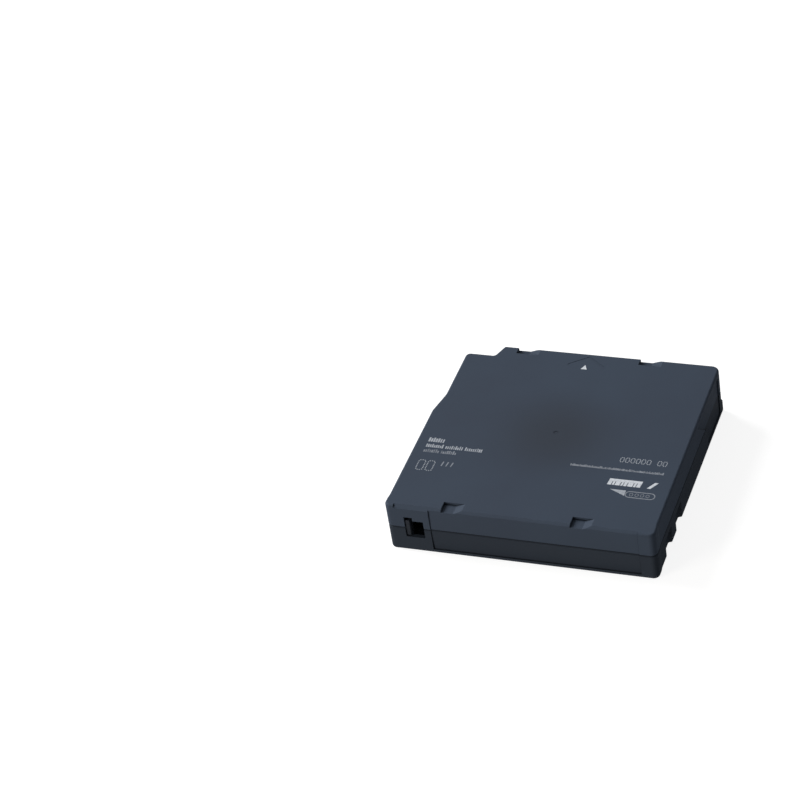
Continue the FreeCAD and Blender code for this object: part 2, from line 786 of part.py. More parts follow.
def make_top_shell():
    """Upper half of the case, with the brake's post and the upper seats."""
    shell = outer_block(parting_z, case_height, case_height)
    shell = shell.cut(cavity(parting_z - 1, ceiling_z)).cut(seam_tongue(seam_lip_clearance))
    ribs = boss_ribs(parting_z + boss_rib_drop, ceiling_z) + notch_roofs()
    ribs.append(ring(0, reel_y, reel_top + reel_float, ceiling_z, reel_ring_inner, reel_ring_outer))
    post = spline_post(spline_length, spline_width, spline_core, post_end_z, ceiling_z)
    ribs.append(at_reel(post))
    seat = brake_spring_radius + brake_spring_wire_radius + spring_seat_gap
    ribs.append(ring(0, reel_y, ceiling_z - spring_seat_height, ceiling_z, seat, seat + spring_seat_wall))
    ribs.append(pin_post(ceiling_z - pin_post_height, ceiling_z))
    ribs.append(pin_pad(pin_top + pin_end_play, ceiling_z))
    ribs.append(pin_spring_slot(ceiling_z - pin_post_height, ceiling_z))
    guide_y = slider_front_y + slider_thickness + slider_gap
    ribs.append(box(-side_x + wall - 0.1, guide_y, slider_top - 1.6,
                    slider_x + slider_width + slider_travel + 0.6, guide_y + slider_guide, ceiling_z))
    ribs.append(box(-side_x + wall - 0.1, spring_post_y - spring_post_thickness,
                    door_tail_z - door_spring_radius - spring_post_drop,
                    -side_x + wall + spring_post_width, spring_post_y, ceiling_z))
    for x, y in screw_places.values():
        ribs.append(cylinder(x, y, parting_z, ceiling_z, boss_radius))
    shell = shell.fuse(ribs).removeSplitter()
    cuts = edge_notches(case_height, -1, label_notch_drop, label_notch_ramp, label_y - 1,
                        label_notch_depth + 1)
    cuts += edge_notches(case_height, -1, front_notch_drop, front_notch_ramp,
                         half_d - front_notch_depth, front_notch_depth + 1)
    cuts += [label_bevel(), label_panel(), slider_window(), right_relief(), door_passage(), arrow_mark()]
    cuts.append(door_groove(ceiling_z - 0.1, ceiling_z + door_tongue + 0.1))
    cuts.append(cylinder(0, reel_y, case_height - gate_depth, case_height + 1, gate_radius))
    for x, y in screw_places.values():
        cuts.append(cylinder(x, y, parting_z - 1, screw_end_z + screw_hole_end, screw_radius + screw_grip))
    return shell.cut(cuts)


# ---------------------------------------------------------------- reel
def pocket_arms(width, z0, z1):
    """Three arms round the Z axis, out to the legs of the release pad."""
    arm = box(0, -width / 2, z0, leg_outer + pad_clearance, width / 2, z1)
    return turned_copies(arm, arm_count)


def make_reel_hub():
    """Hub and lower flange in one moulding, with drive teeth below and brake teeth inside."""
    hub = cylinder(0, 0, reel_bottom, flange_top, reel_radius)
    hub = hub.fuse(cylinder(0, 0, reel_bottom, upper_flange_z, hub_radius))
    hub = hub.cut(cylinder(0, 0, reel_bottom - 1, web_bottom, hub_radius - 0.4))
    hub = hub.cut(cylinder(0, 0, web_top, upper_flange_z + 1, hub_bore))
    drive_ring = ring(0, 0, tooth_tips_z, web_bottom + tooth_anchor, drive_tooth_inner, drive_tooth_outer)
    drive_ring = drive_ring.cut(tooth_spaces(tooth_count, drive_tooth_inner - tooth_run,
                                             drive_tooth_outer + tooth_run, web_bottom - 0.05, tooth_tips_z))
    brake_ring = ring(0, 0, web_top - tooth_anchor, brake_root_z + brake_tooth_height,
                      brake_tooth_inner, brake_tooth_outer)
    brake_ring = brake_ring.cut(tooth_spaces(tooth_count, brake_tooth_inner - tooth_run,
                                             brake_tooth_outer + tooth_run, brake_root_z,
                                             brake_root_z + brake_tooth_height))
    stakes = turned_copies(cylinder(stake_circle, 0, web_bottom - clutch_plate_thickness,
                                    web_bottom + tooth_anchor, stake_radius), arm_count)
    for stake in stakes:
        stake.rotate(V(0, 0, 0), Z_AXIS, 180.0 / arm_count)
    hub = hub.fuse([drive_ring, brake_ring] + stakes)
    cuts = pocket_arms(arm_width + 2 * pad_clearance, arm_z, brake_z)
    cuts.append(cylinder(0, 0, arm_z, brake_z, pad_centre_radius + pad_clearance))
    slot = box(leg_inner - pad_clearance, -leg_width / 2 - pad_clearance, tooth_tips_z - 1,
               leg_outer + pad_clearance, leg_width / 2 + pad_clearance, brake_z)
    cuts += turned_copies(slot, arm_count)
    return at_reel(hub.cut(cuts).removeSplitter())


def make_upper_flange():
    """Disc welded on the hub, with a lip that centres it in the hub's bore."""
    disc = ring(0, 0, upper_flange_z, reel_top, upper_flange_bore, reel_radius)
    lip_outer = hub_bore - flange_lip_clearance
    lip = ring(0, 0, upper_flange_z - flange_lip_height, upper_flange_z + 0.2,
               lip_outer - flange_lip, lip_outer)
    return at_reel(disc.fuse(lip).removeSplitter())


def make_clutch_plate():
    """Steel disc that the drive's magnet pulls, staked under the hub."""
    disc = ring(0, 0, web_bottom - clutch_plate_thickness, web_bottom,
                clutch_plate_inner, clutch_plate_outer)
    holes = turned_copies(cylinder(stake_circle, 0, 0, web_bottom + 1, stake_radius + stake_clearance),
                          arm_count)
    for hole in holes:
        hole.rotate(V(0, 0, 0), Z_AXIS, 180.0 / arm_count)
    return at_reel(disc.cut(holes))


def make_tape_pack():
    """All turns of the tape as one solid."""
    return at_reel(ring(0, 0, tape_bottom, tape_bottom + tape_width, hub_radius, tape_pack_radius))


# ---------------------------------------------------------------- brake
def make_release_pad():
    """Three-armed pad: its legs reach down between the drive teeth and lift the brake."""
    body = cylinder(0, 0, arm_z, arm_z + arm_thickness, pad_centre_radius)
    arm = box(0, -arm_width / 2, arm_z, leg_outer, arm_width / 2, arm_z + arm_thickness)
    leg = box(leg_inner, -leg_width / 2, tooth_tips_z + leg_recess, leg_outer, leg_width / 2,
              arm_z + arm_thickness)
    nub = cylinder(0, 0, arm_z, brake_z, pad_nub_radius)
    nub = nub.makeFillet(pad_nub_round, edges_at(nub, brake_z))
    body = body.fuse(turned_copies(arm, arm_count) + turned_copies(leg, arm_count) + [nub])
    return at_reel(body.removeSplitter())


def make_brake_button():
    """Toothed disc that locks the reel, with a splined sleeve round the case's post."""
    disc = cylinder(0, 0, brake_z, brake_top, brake_tooth_outer)
    teeth = ring(0, 0, brake_z - brake_tooth_height, brake_z + tooth_anchor,
                 brake_tooth_inner, brake_tooth_outer)
    spaces = tooth_spaces(tooth_count, brake_tooth_inner - tooth_run, brake_tooth_outer + tooth_run,
                          brake_z, brake_z - brake_tooth_height)
    spaces.rotate(V(0, 0, 0), Z_AXIS, 180.0 / tooth_count)
    sleeve = cylinder(0, 0, brake_z, sleeve_top, brake_sleeve_radius)
    socket = spline_post(spline_length + spline_clearance, spline_width + 2 * spline_clearance,
                         spline_core + spline_clearance, brake_top, sleeve_top + 1)
    body = disc.fuse([teeth.cut(spaces), sleeve]).cut(socket)
    return at_reel(body.removeSplitter())


def make_brake_spring():
    """Compression spring between the ceiling and the brake."""
    spring = coil(brake_spring_radius, brake_spring_wire_radius, ceiling_z - brake_top, brake_spring_turns)
    spring.translate(V(0, 0, brake_top))
    return at_reel(spring)


# ---------------------------------------------------------------- door
def make_access_door():
    """Sliding door with tongues in both plates and a tail that carries its spring."""
    z0, z1 = plate + door_clearance, ceiling_z - door_clearance
    door = box(door_outer_x, door_rear_y, z0, door_inner_x, door_front_y, z1)
    tongue = box(tongue_x, door_rear_y, z0 - door_tongue, tongue_x + door_tongue_thickness,
                 door_front_y - 1, z1 + door_tongue)
    tail = box(door_outer_x, door_tail_y, door_tail_z - door_tail_height / 2,
               door_outer_x + door_tail_thickness, door_rear_y + 0.5, door_tail_z + door_tail_height / 2)
    seat = box(door_outer_x, door_tail_y, door_tail_z - door_tail_height / 2,
               spring_axis_x + door_spring_radius + door_spring_wire_radius,
               door_tail_y + door_tail_thickness, door_tail_z + door_tail_height / 2)
    door = door.fuse([tongue, tail, seat]).removeSplitter()
    grooves = []
    for i in range(door_grip_count):
        y = door_front_y - door_grip_start - i * door_grip_pitch
        grooves.append(box(door_outer_x - 1, y - door_grip_width, z0 + door_grip_margin,
                           door_outer_x + door_grip_depth, y, z1 - door_grip_margin))
    return door.cut(grooves)


def make_door_spring():
    """Compression spring that shuts the door, between its tail and a post on the ceiling."""
    spring = coil(door_spring_radius, door_spring_wire_radius, door_spring_length, door_spring_turns)
    spring.rotate(V(0, 0, 0), X_AXIS, -90)
    spring.translate(V(spring_axis_x, spring_post_y, door_tail_z))
    return spring


# ---------------------------------------------------------------- leader
def make_leader_pin():
    """Turned steel pin with a head, a neck and a collar at each end."""
    steps = [(pin_head_radius, pin_head), (pin_neck_radius, pin_neck), (pin_head_radius, pin_collar)]
    core = pin_length - 2 * sum(h for _, h in steps)
    levels = steps + [(pin_core_radius, core)] + steps[::-1]
    outline, z = [V(0, 0, 0)], 0.0
    for radius, height in levels:
        outline += [V(radius, 0, z), V(radius, 0, z + height)]
        z += height
    outline += [V(0, 0, z), V(0, 0, 0)]
    pin = Part.Face(Part.makePolygon(outline)).revolve(V(0, 0, 0), Z_AXIS, 360)
    ends = [e for e in pin.Edges if e.BoundBox.XLength > 2 * pin_head_radius - 0.01
            and (e.BoundBox.ZMax < 1e-6 or e.BoundBox.ZMin > pin_length - 1e-6)]
    pin = pin.makeFillet(pin_head * 0.35, ends)
    pin.translate(V(pin_x, pin_y, pin_z))
    return pin


def tape_run():
    """Direction of the free tape and its two ends: at the pack, and at the pin."""
    dx, dy = pin_x, pin_y - reel_y
    distance = math.hypot(dx, dy)
    radius = tape_pack_radius + tape_lift
    angle = math.atan2(dy, dx) + math.acos(radius / distance)
    start = V(radius * math.cos(angle), reel_y + radius * math.sin(angle), 0)
    along = V(pin_x, pin_y, 0) - start
    length = along.Length
    along.normalize()
    return start, along, length


def make_tape_clip():
    """Plastic clip that snaps over the pin and the end of the tape."""
    inset = pin_head + pin_neck + pin_collar + clip_end_gap
    z0, z1 = pin_z + inset, pin_top - inset
    inner = pin_core_radius + 0.05
    clip = ring(0, 0, z0, z1, inner, inner + clip_thickness)
    clip = clip.cut(box(0, -clip_slot / 2, z0 - 1, inner + 2, clip_slot / 2, z1 + 1))
    _, along, _ = tape_run()
    clip.rotate(V(0, 0, 0), Z_AXIS, math.degrees(math.atan2(-along.y, -along.x)))
    clip.translate(V(pin_x, pin_y, 0))
    return clip


def make_tape_end():
    """Free end of the tape, from beside the pack to the pin."""
    start, along, length = tape_run()
    stop = start + along * (length - pin_core_radius - 0.05)
    points = [(start.x, start.y), (stop.x, stop.y)]
    return ribbon(points, tape_thickness, tape_bottom, tape_bottom + tape_width)


def make_pin_spring():
    """Sheet spring: a base in the front wall and two arms that keep the pin in its posts."""
    base_right = key_x + pin_spring_reach
    base_left = base_right - pin_spring_base_length
    low, high = pin_z + 0.1, pin_top - 0.1
    reach = pin_x - pin_head_radius - pin_spring_thickness / 2 - 0.02
    knee_x = pin_x - 0.6
    route = [(base_left + 0.5, pin_spring_y), (knee_x, pin_spring_y),
             (reach, pin_y + 2.2), (reach, pin_y - 0.8)]
    base = ribbon([(base_left, pin_spring_y), (base_right, pin_spring_y)], pin_spring_thickness, low, high)
    arms = [ribbon(route, pin_spring_thickness, low, low + pin_spring_arm),
            ribbon(route, pin_spring_thickness, high - pin_spring_arm, high)]
    return base.fuse(arms).removeSplitter()


# ---------------------------------------------------------------- small pieces
def make_slider():
    """Write-protect slider: a plate behind the window, a foot over the sensing hole and a nub."""
    x0, x1 = slider_x, slider_x + slider_width
    y0 = slider_front_y
    bottom = floor_z + 0.05
    plate_part = box(x0, y0, bottom, x1, y0 + slider_thickness, slider_top)
    foot = box(x0, y0, bottom, x1, y0 + slider_foot, bottom + slider_foot_height)
    nub = box(x1 - slider_nub_width, label_y + slider_nub_recess, slider_nub_bottom,
              x1, y0 + 0.2, slider_nub_top)
    nub_face = label_y + slider_nub_recess
    nub = nub.makeFillet(slider_nub_round, [e for e in nub.Edges if e.BoundBox.YMax < nub_face + 1e-6])
    slot_top = slider_top - slider_strip
    relief = box(x0 + slider_slot_inset, y0 - 1, slot_top - slider_slot_height,
                 x1 - slider_slot_inset, y0 + slider_thickness + 1, slot_top)
    return plate_part.fuse([foot, nub]).cut(relief).removeSplitter()


def make_screw(x, y):
    """Self-tapping screw with a cross recess, its head down in the bottom shell."""
    head_z = screw_seat_z - screw_head
    head = cylinder(x, y, head_z, screw_seat_z, screw_head_radius)
    head = head.makeFillet(screw_head_round, edges_at(head, head_z))
    shank = cylinder(x, y, screw_seat_z - 0.1, screw_end_z - screw_point, screw_radius)
    tip = Part.makeCone(screw_radius, screw_point_radius, screw_point, V(x, y, screw_end_z - screw_point))
    reach = screw_head_radius * 0.62
    half, deep = recess_slot / 2, head_z + recess_depth
    slots = [box(x - reach, y - half, head_z - 1, x + reach, y + half, deep),
             box(x - half, y - reach, head_z - 1, x + half, y + reach, deep)]
    return head.fuse([shank, tip]).cut(slots).removeSplitter()


def in_memory_corner(shape):
    """Stands a shape built on the XY plane on the 45 degree gussets of the rear corner."""
    shape.rotate(V(0, 0, 0), X_AXIS, -45)
    reach = memory_width / math.sqrt(2)
    shape.translate(V(memory_x, label_inner_y, floor_z + reach))
    return shape


def make_memory_board():
    """Radio memory board, tilted so that it can be read from below and from behind."""
    return in_memory_corner(box(-memory_length / 2, 0, 0, memory_length / 2, memory_width, memory_thickness))


def make_memory_chip():
    """Chip on the board."""
    half = chip_size / 2
    middle = memory_width / 2
    return in_memory_corner(box(-half, middle - half, memory_thickness,
                                half, middle + half, memory_thickness + chip_thickness))


# ---------------------------------------------------------------- build
def build():
    """Every piece of the cartridge, by node name."""
    pieces = {
        "bottom_shell": make_bottom_shell(),
        "top_shell": make_top_shell(),
        "reel_hub": make_reel_hub(),
        "upper_flange": make_upper_flange(),
        "clutch_plate": make_clutch_plate(),
        "tape_pack": make_tape_pack(),
        "release_pad": make_release_pad(),
        "brake_button": make_brake_button(),
        "brake_spring": make_brake_spring(),
        "access_door": make_access_door(),
        "door_spring": make_door_spring(),
        "leader_pin": make_leader_pin(),
        "tape_clip": make_tape_clip(),
        "tape_end": make_tape_end(),
        "pin_spring": make_pin_spring(),
        "write_protect_slider": make_slider(),
        "memory_board": make_memory_board(),
        "memory_chip": make_memory_chip(),
    }
    for place, (x, y) in screw_places.items():
        pieces["case_screw_" + place] = make_screw(x, y)
    return pieces


def main():
    """Writes one STEP file for each piece."""
    os.makedirs("parts", exist_ok=True)
    for name, shape in build().items():
        shape.exportStep(os.path.join("parts", name + ".step"))
        size = shape.BoundBox
        print("%-26s %d solid  %8.1f mm3  valid %s  z %.2f to %.2f" % (
            name, len(shape.Solids), shape.Volume, shape.isValid(), size.ZMin, size.ZMax))


main()
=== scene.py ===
"""Looks of a half-inch data tape cartridge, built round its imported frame.

Everything is in metres, in the cartridge's own frame: +X is the width, +Y the loading direction
and +Z up, with the label end at -Y.
"""
import logging
import math
from dataclasses import dataclass, field, replace
from enum import Enum
from typing import Iterable, Optional, Sequence

import bpy
from mathutils import Matrix, Vector


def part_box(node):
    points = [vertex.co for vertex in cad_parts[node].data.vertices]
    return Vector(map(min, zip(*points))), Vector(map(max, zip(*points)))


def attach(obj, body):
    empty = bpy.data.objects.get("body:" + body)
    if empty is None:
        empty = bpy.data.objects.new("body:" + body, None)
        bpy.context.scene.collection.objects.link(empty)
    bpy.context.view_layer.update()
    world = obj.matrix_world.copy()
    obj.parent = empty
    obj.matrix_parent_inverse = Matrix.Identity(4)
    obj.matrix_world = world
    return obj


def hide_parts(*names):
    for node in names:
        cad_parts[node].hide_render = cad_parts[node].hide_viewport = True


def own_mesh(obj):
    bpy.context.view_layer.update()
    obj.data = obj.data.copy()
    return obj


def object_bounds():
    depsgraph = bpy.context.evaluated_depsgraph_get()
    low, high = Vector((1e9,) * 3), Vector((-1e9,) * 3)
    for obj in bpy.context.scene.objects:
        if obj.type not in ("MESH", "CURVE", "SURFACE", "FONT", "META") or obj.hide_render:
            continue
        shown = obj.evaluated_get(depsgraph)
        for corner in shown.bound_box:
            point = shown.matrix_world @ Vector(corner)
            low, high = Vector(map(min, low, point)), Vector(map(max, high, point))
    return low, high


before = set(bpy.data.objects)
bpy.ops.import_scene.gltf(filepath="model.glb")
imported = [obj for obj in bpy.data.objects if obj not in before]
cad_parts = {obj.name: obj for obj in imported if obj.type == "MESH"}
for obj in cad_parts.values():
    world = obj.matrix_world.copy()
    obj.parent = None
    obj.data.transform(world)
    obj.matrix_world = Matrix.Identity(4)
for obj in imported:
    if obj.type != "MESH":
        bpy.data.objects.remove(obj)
cad_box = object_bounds()

MM = 0.001
FULL_TURN = 2 * math.pi
WAVE_FACTOR = 20         # the Wave texture multiplies its coordinates by this
CASE = "case"

# node kinds and settings that the trees use most
MATH = "ShaderNodeMath"
AXES = "ShaderNodeCombineXYZ"
RANGE = "ShaderNodeMapRange"
MIX = "ShaderNodeMix"
ADD = {"operation": "ADD"}
SUBTRACT = {"operation": "SUBTRACT"}
MULTIPLY = {"operation": "MULTIPLY"}
DIVIDE = {"operation": "DIVIDE"}
COSINE = {"operation": "COSINE"}
SINE = {"operation": "SINE"}
LARGER = {"operation": "MAXIMUM"}
SMOOTH = {"interpolation_type": "SMOOTHSTEP"}
COLOURS = {"data_type": "RGBA"}          # a Mix node then takes its colours at inputs 6 and 7
FLOATS = {"data_type": "FLOAT"}          # a Random Value node then takes its ends at inputs 2 and 3

log = logging.getLogger("cartridge")


# ---------------------------------------------------------------- helpers
def linear(hex_code: str) -> tuple[float, float, float, float]:
    """Turns an sRGB colour, as "#rrggbb", into a linear one with an alpha of 1."""
    # the sRGB curve: a straight part near black, then a power
    channels = [int(hex_code[i:i + 2], 16) / 255 for i in (1, 3, 5)]
    return (*[c / 12.92 if c <= 0.04045 else ((c + 0.055) / 1.055) ** 2.4 for c in channels], 1.0)


def add_node(tree: bpy.types.NodeTree, kind: str, settings: Optional[dict[str, object]] = None,
             **inputs: object) -> bpy.types.Node:
    """Adds one node, sets its properties, and sets or links its inputs.

    Args:
        tree: the tree that gets the node.
        kind: the node's Blender type.
        settings: properties of the node, by name.
        inputs: values or output sockets by input name, with _ for a space, or i0, i1 for an index.

    Returns:
        The new node.
    """
    node = tree.nodes.new(kind)
    for name, value in (settings or {}).items():
        setattr(node, name, value)
    for name, value in inputs.items():
        if name[0] == "i" and name[1:].isdigit():
            socket = node.inputs[int(name[1:])]
        else:
            socket = node.inputs[name.replace("_", " ")]
        if isinstance(value, bpy.types.NodeSocket):
            tree.links.new(value, socket)
        else:
            socket.default_value = value
    return node


def wave_scale(period_mm: float) -> float:
    """Gives the scale of a Wave texture whose marks repeat at a real spacing in millimetres."""
    return FULL_TURN / (WAVE_FACTOR * period_mm * MM)


def box_size(node: str) -> tuple[Vector, Vector, Vector]:
    """Gives the lowest corner, the highest corner and the centre of a CAD node."""
    low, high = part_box(node)
    return low, high, (low + high) / 2


def dress_node(name: str, material: bpy.types.Material) -> None:
    """Gives a CAD node its finish.

    Args:
        name: the node's name.
        material: the finish.
    """
    for material_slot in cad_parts[name].material_slots:
        material_slot.material = material
    log.info("dressed %s with %s", name, material.name)


def new_object(name: str, data: bpy.types.ID) -> bpy.types.Object:
    """Puts a mesh, a light or a camera into the scene, at the origin.

    Args:
        name: the object's name.
        data: what the object shows or is.

    Returns:
        The new object.
    """
    thing = bpy.data.objects.new(name, data)
    bpy.context.scene.collection.objects.link(thing)
    return thing


def new_material(name: str) -> tuple[bpy.types.Material, bpy.types.NodeTree, bpy.types.Node,
                                     bpy.types.NodeSocket]:
    """Starts a material.

    Args:
        name: the finish's name.

    Returns:
        The material, its tree, its shader and the object coordinates.
    """
    material = bpy.data.materials.new(name)
    material.use_nodes = True
    tree = material.node_tree
    place = add_node(tree, "ShaderNodeTexCoord").outputs["Object"]
    return material, tree, tree.nodes["Principled BSDF"], place


def settle(piece: bpy.types.Object, body: str) -> None:
    """Makes a finished piece ride on a body.

    Args:
        piece: a mesh object whose place is in its mesh.
        body: the CAD body it moves with.
    """
    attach(piece, body)
    log.info("made %s: %d faces on %s", piece.name, len(piece.data.polygons), body)


# ---------------------------------------------------------------- finishes
@dataclass(frozen=True)
class MouldedPlastic:
    """Injection-moulded thermoplastic: an even colour under a fine eroded or polished skin.

    The grain gives a broad soft highlight, and slow changes of tone come from the flow of the melt.
    Real eroded grain is 0.03 to 0.1 mm across and is drawn coarser, so that it shows.
    """

    name: str
    colour: str
    shade: str
    roughness: float = 0.52
    smoother: float = 0.06
    rougher: float = 0.08
    grain_mm: float = 0.35
    grain_depth_mm: float = 0.012
    grain_values: tuple[float, float] = (0.25, 0.75)
    flow_mm: float = 38.0
    flow_share: float = 0.35
    flow_values: tuple[float, float] = (0.3, 0.7)
    specular: float = 0.4
    ior: float = 1.5
    # width, darkest level and occlusion range of the painted shade in joints and inner corners
    seam_mm: float = 0.0
    seam_shade: float = 0.42
    seam_values: tuple[float, float] = (0.5, 0.88)
    # tone, reach and core of a darker round patch about the middle of the piece
    middle_tone: str = ""
    middle_reach_mm: float = 32.0
    middle_core_mm: float = 3.0

    def build(self) -> bpy.types.Material:
        """Builds the material.

        Returns:
            A material with flow marks in its colour and grain in its roughness and bump. It is
            darker in a soft round patch about the middle of the piece where it has a middle tone, and has
            painted shade in joints and inner corners where it has a seam width.
        """
        material, tree, shader, place = new_material(self.name)
        flow = add_node(tree, "ShaderNodeTexNoise", Vector=place, Scale=1 / (self.flow_mm * MM),
                        Detail=3.0, Roughness=0.45)
        spread = add_node(tree, RANGE, Value=flow.outputs["Fac"], From_Min=self.flow_values[0],
                          From_Max=self.flow_values[1], To_Min=0.0, To_Max=self.flow_share)
        tone = add_node(tree, MIX, COLOURS, i0=spread.outputs[0], i6=linear(self.colour),
                        i7=linear(self.shade))
        grain = add_node(tree, "ShaderNodeTexNoise", Vector=place, Scale=1 / (self.grain_mm * MM),
                         Detail=2.0, Roughness=0.6)
        gloss = add_node(tree, RANGE, Value=grain.outputs["Fac"], From_Min=self.grain_values[0],
                         From_Max=self.grain_values[1], To_Min=self.roughness - self.smoother,
                         To_Max=self.roughness + self.rougher)
        bump = add_node(tree, "ShaderNodeBump", Height=grain.outputs["Fac"], Strength=1.0,
                        Distance=self.grain_depth_mm * MM)
        if self.middle_tone:
            tone = self.darken_middle(tree, place, tone.outputs[2])
        # painted shade in joints and inner corners, from ambient occlusion
        if self.seam_mm:
            tone = self.painted_seam_shade(tree, tone.outputs[2])
        tree.links.new(tone.outputs[2], shader.inputs["Base Color"])
        tree.links.new(gloss.outputs[0], shader.inputs["Roughness"])
        tree.links.new(bump.outputs[0], shader.inputs["Normal"])
        shader.inputs["IOR"].default_value = self.ior
        shader.inputs["Specular IOR Level"].default_value = self.specular
        return material

    def darken_middle(self, tree: bpy.types.NodeTree, place: bpy.types.NodeSocket,
                  tone: bpy.types.NodeSocket) -> bpy.types.Node:
        """Darkens the tone softly round the Z axis, in a round patch about the middle of the piece.

        Args:
            tree: the material's tree.
            place: the object coordinates.
            tone: the colour so far.

        Returns:
            A Mix node with the new colour.
        """
        flat = add_node(tree, "ShaderNodeMapping", Vector=place, Scale=(1.0, 1.0, 0.0))
        reach = add_node(tree, "ShaderNodeVectorMath", {"operation": "LENGTH"}, i0=flat.outputs[0])
        share = add_node(tree, RANGE, SMOOTH, Value=reach.outputs["Value"],
                         From_Min=self.middle_core_mm * MM, From_Max=self.middle_reach_mm * MM,
                         To_Min=1.0, To_Max=0.0)
        return add_node(tree, MIX, COLOURS, i0=share.outputs[0], i6=tone, i7=linear(self.middle_tone))

    def painted_seam_shade(self, tree: bpy.types.NodeTree, tone: bpy.types.NodeSocket) -> bpy.types.Node:
        """Paints shade into the tone in joints and inner corners, darker where ambient occlusion finds near
        surfaces.

        Args:
            tree: the material's tree.
            tone: the colour so far.

        Returns:
            A Mix node with the new colour.
        """
        # painted shade: ambient occlusion darkens the colour in joints, creases and inner corners
        free = add_node(tree, "ShaderNodeAmbientOcclusion", {"samples": 8}, Distance=self.seam_mm * MM)
        level = add_node(tree, RANGE, Value=free.outputs["AO"], From_Min=self.seam_values[0],
                         From_Max=self.seam_values[1], To_Min=self.seam_shade, To_Max=1.0)
        return add_node(tree, MIX, {"blend_type": "MULTIPLY", **COLOURS}, i0=1.0, i6=tone,
                        i7=level.outputs[0])


class Lay(Enum):
    """Which way the tool marks of a metal run."""

    TURNED = "RINGS"
    DRAWN = "BANDS"


@dataclass(frozen=True)
class WorkedSteel:
    """Steel with the marks of its making: rings from turning, or lines from drawing or rolling.

    The marks draw the highlight out into a soft streak. Real ones are 0.02 to 0.1 mm apart and are
    drawn coarser, so that they show.
    """

    name: str
    colour: str
    lay: Lay
    roughness: float = 0.28
    smoother: float = 0.08
    rougher: float = 0.1
    marks_mm: float = 0.15
    depth_mm: float = 0.004
    centre: tuple[float, float, float] = (0.0, 0.0, 0.0)

    def build(self) -> bpy.types.Material:
        """Builds the material.

        Returns:
            A metal whose roughness and bump follow the tool marks.
        """
        material, tree, shader, place = new_material(self.name)
        centred = add_node(tree, "ShaderNodeMapping", Vector=place, Location=tuple(-c for c in self.centre))
        direction = "rings_direction" if self.lay is Lay.TURNED else "bands_direction"
        marks = add_node(tree, "ShaderNodeTexWave", {"wave_type": self.lay.value, direction: "Z"},
                         Vector=centred.outputs[0], Scale=wave_scale(self.marks_mm), Distortion=0.6,
                         Detail=2.0)
        gloss = add_node(tree, RANGE, Value=marks.outputs["Fac"], To_Min=self.roughness - self.smoother,
                         To_Max=self.roughness + self.rougher)
        bump = add_node(tree, "ShaderNodeBump", Height=marks.outputs["Fac"], Distance=self.depth_mm * MM)
        tree.links.new(gloss.outputs[0], shader.inputs["Roughness"])
        tree.links.new(bump.outputs[0], shader.inputs["Normal"])
        shader.inputs["Base Color"].default_value = linear(self.colour)
        shader.inputs["Metallic"].default_value = 1.0
        return material


@dataclass(frozen=True)
class WoundFilm:
    """Coated polyester film wound into a pack: its edges show as fine rings, its face as dark gloss.

    A turn is under 0.01 mm thick, so the rings stand for bands of many turns.
    """

    name: str = "wound coated film"
    colour: str = "#2b2320"
    band: str = "#3a322e"
    roughness: float = 0.25
    ior: float = 1.6
    ring_mm: float = 0.9
    ring_depth_mm: float = 0.01
    centre: tuple[float, float, float] = (0.0, 0.0, 0.0)

    def build(self) -> bpy.types.Material:
        """Builds the material.

        Returns:
            A glossy dark film with slightly uneven winding rings.
        """
        material, tree, shader, place = new_material(self.name)
        centred = add_node(tree, "ShaderNodeMapping", Vector=place, Location=tuple(-c for c in self.centre))
        rings = add_node(tree, "ShaderNodeTexWave", {"wave_type": "RINGS", "rings_direction": "Z"},
                         Vector=centred.outputs[0], Scale=wave_scale(self.ring_mm),
                         Distortion=2.5, Detail=4.0, Detail_Roughness=0.7)
        tone = add_node(tree, MIX, COLOURS, i0=rings.outputs["Fac"], i6=linear(self.colour),
                        i7=linear(self.band))
        bump = add_node(tree, "ShaderNodeBump", Height=rings.outputs["Fac"],
                        Distance=self.ring_depth_mm * MM)
        tree.links.new(tone.outputs[2], shader.inputs["Base Color"])
        tree.links.new(bump.outputs[0], shader.inputs["Normal"])
        shader.inputs["Roughness"].default_value = self.roughness
        shader.inputs["IOR"].default_value = self.ior
        return material


@dataclass(frozen=True)
class PrintInk:
    """Pad-printed ink: a thin matt film, a little uneven where the pad lifted."""

    name: str
    colour: str
    thin_colour: str
    roughness: float = 0.55
    patch_mm: float = 0.8
    patch_values: tuple[float, float] = (0.45, 0.75)

    def build(self) -> bpy.types.Material:
        """Builds the material.

        Returns:
            A pale ink with thin patches.
        """
        material, tree, shader, place = new_material(self.name)
        patches = add_node(tree, "ShaderNodeTexNoise", Vector=place, Scale=1 / (self.patch_mm * MM),
                           Detail=3.0)
        share = add_node(tree, RANGE, Value=patches.outputs["Fac"], From_Min=self.patch_values[0],
                         From_Max=self.patch_values[1])
        tone = add_node(tree, MIX, COLOURS, i0=share.outputs[0], i6=linear(self.colour),
                        i7=linear(self.thin_colour))
        tree.links.new(tone.outputs[2], shader.inputs["Base Color"])
        shader.inputs["Roughness"].default_value = self.roughness
        return material


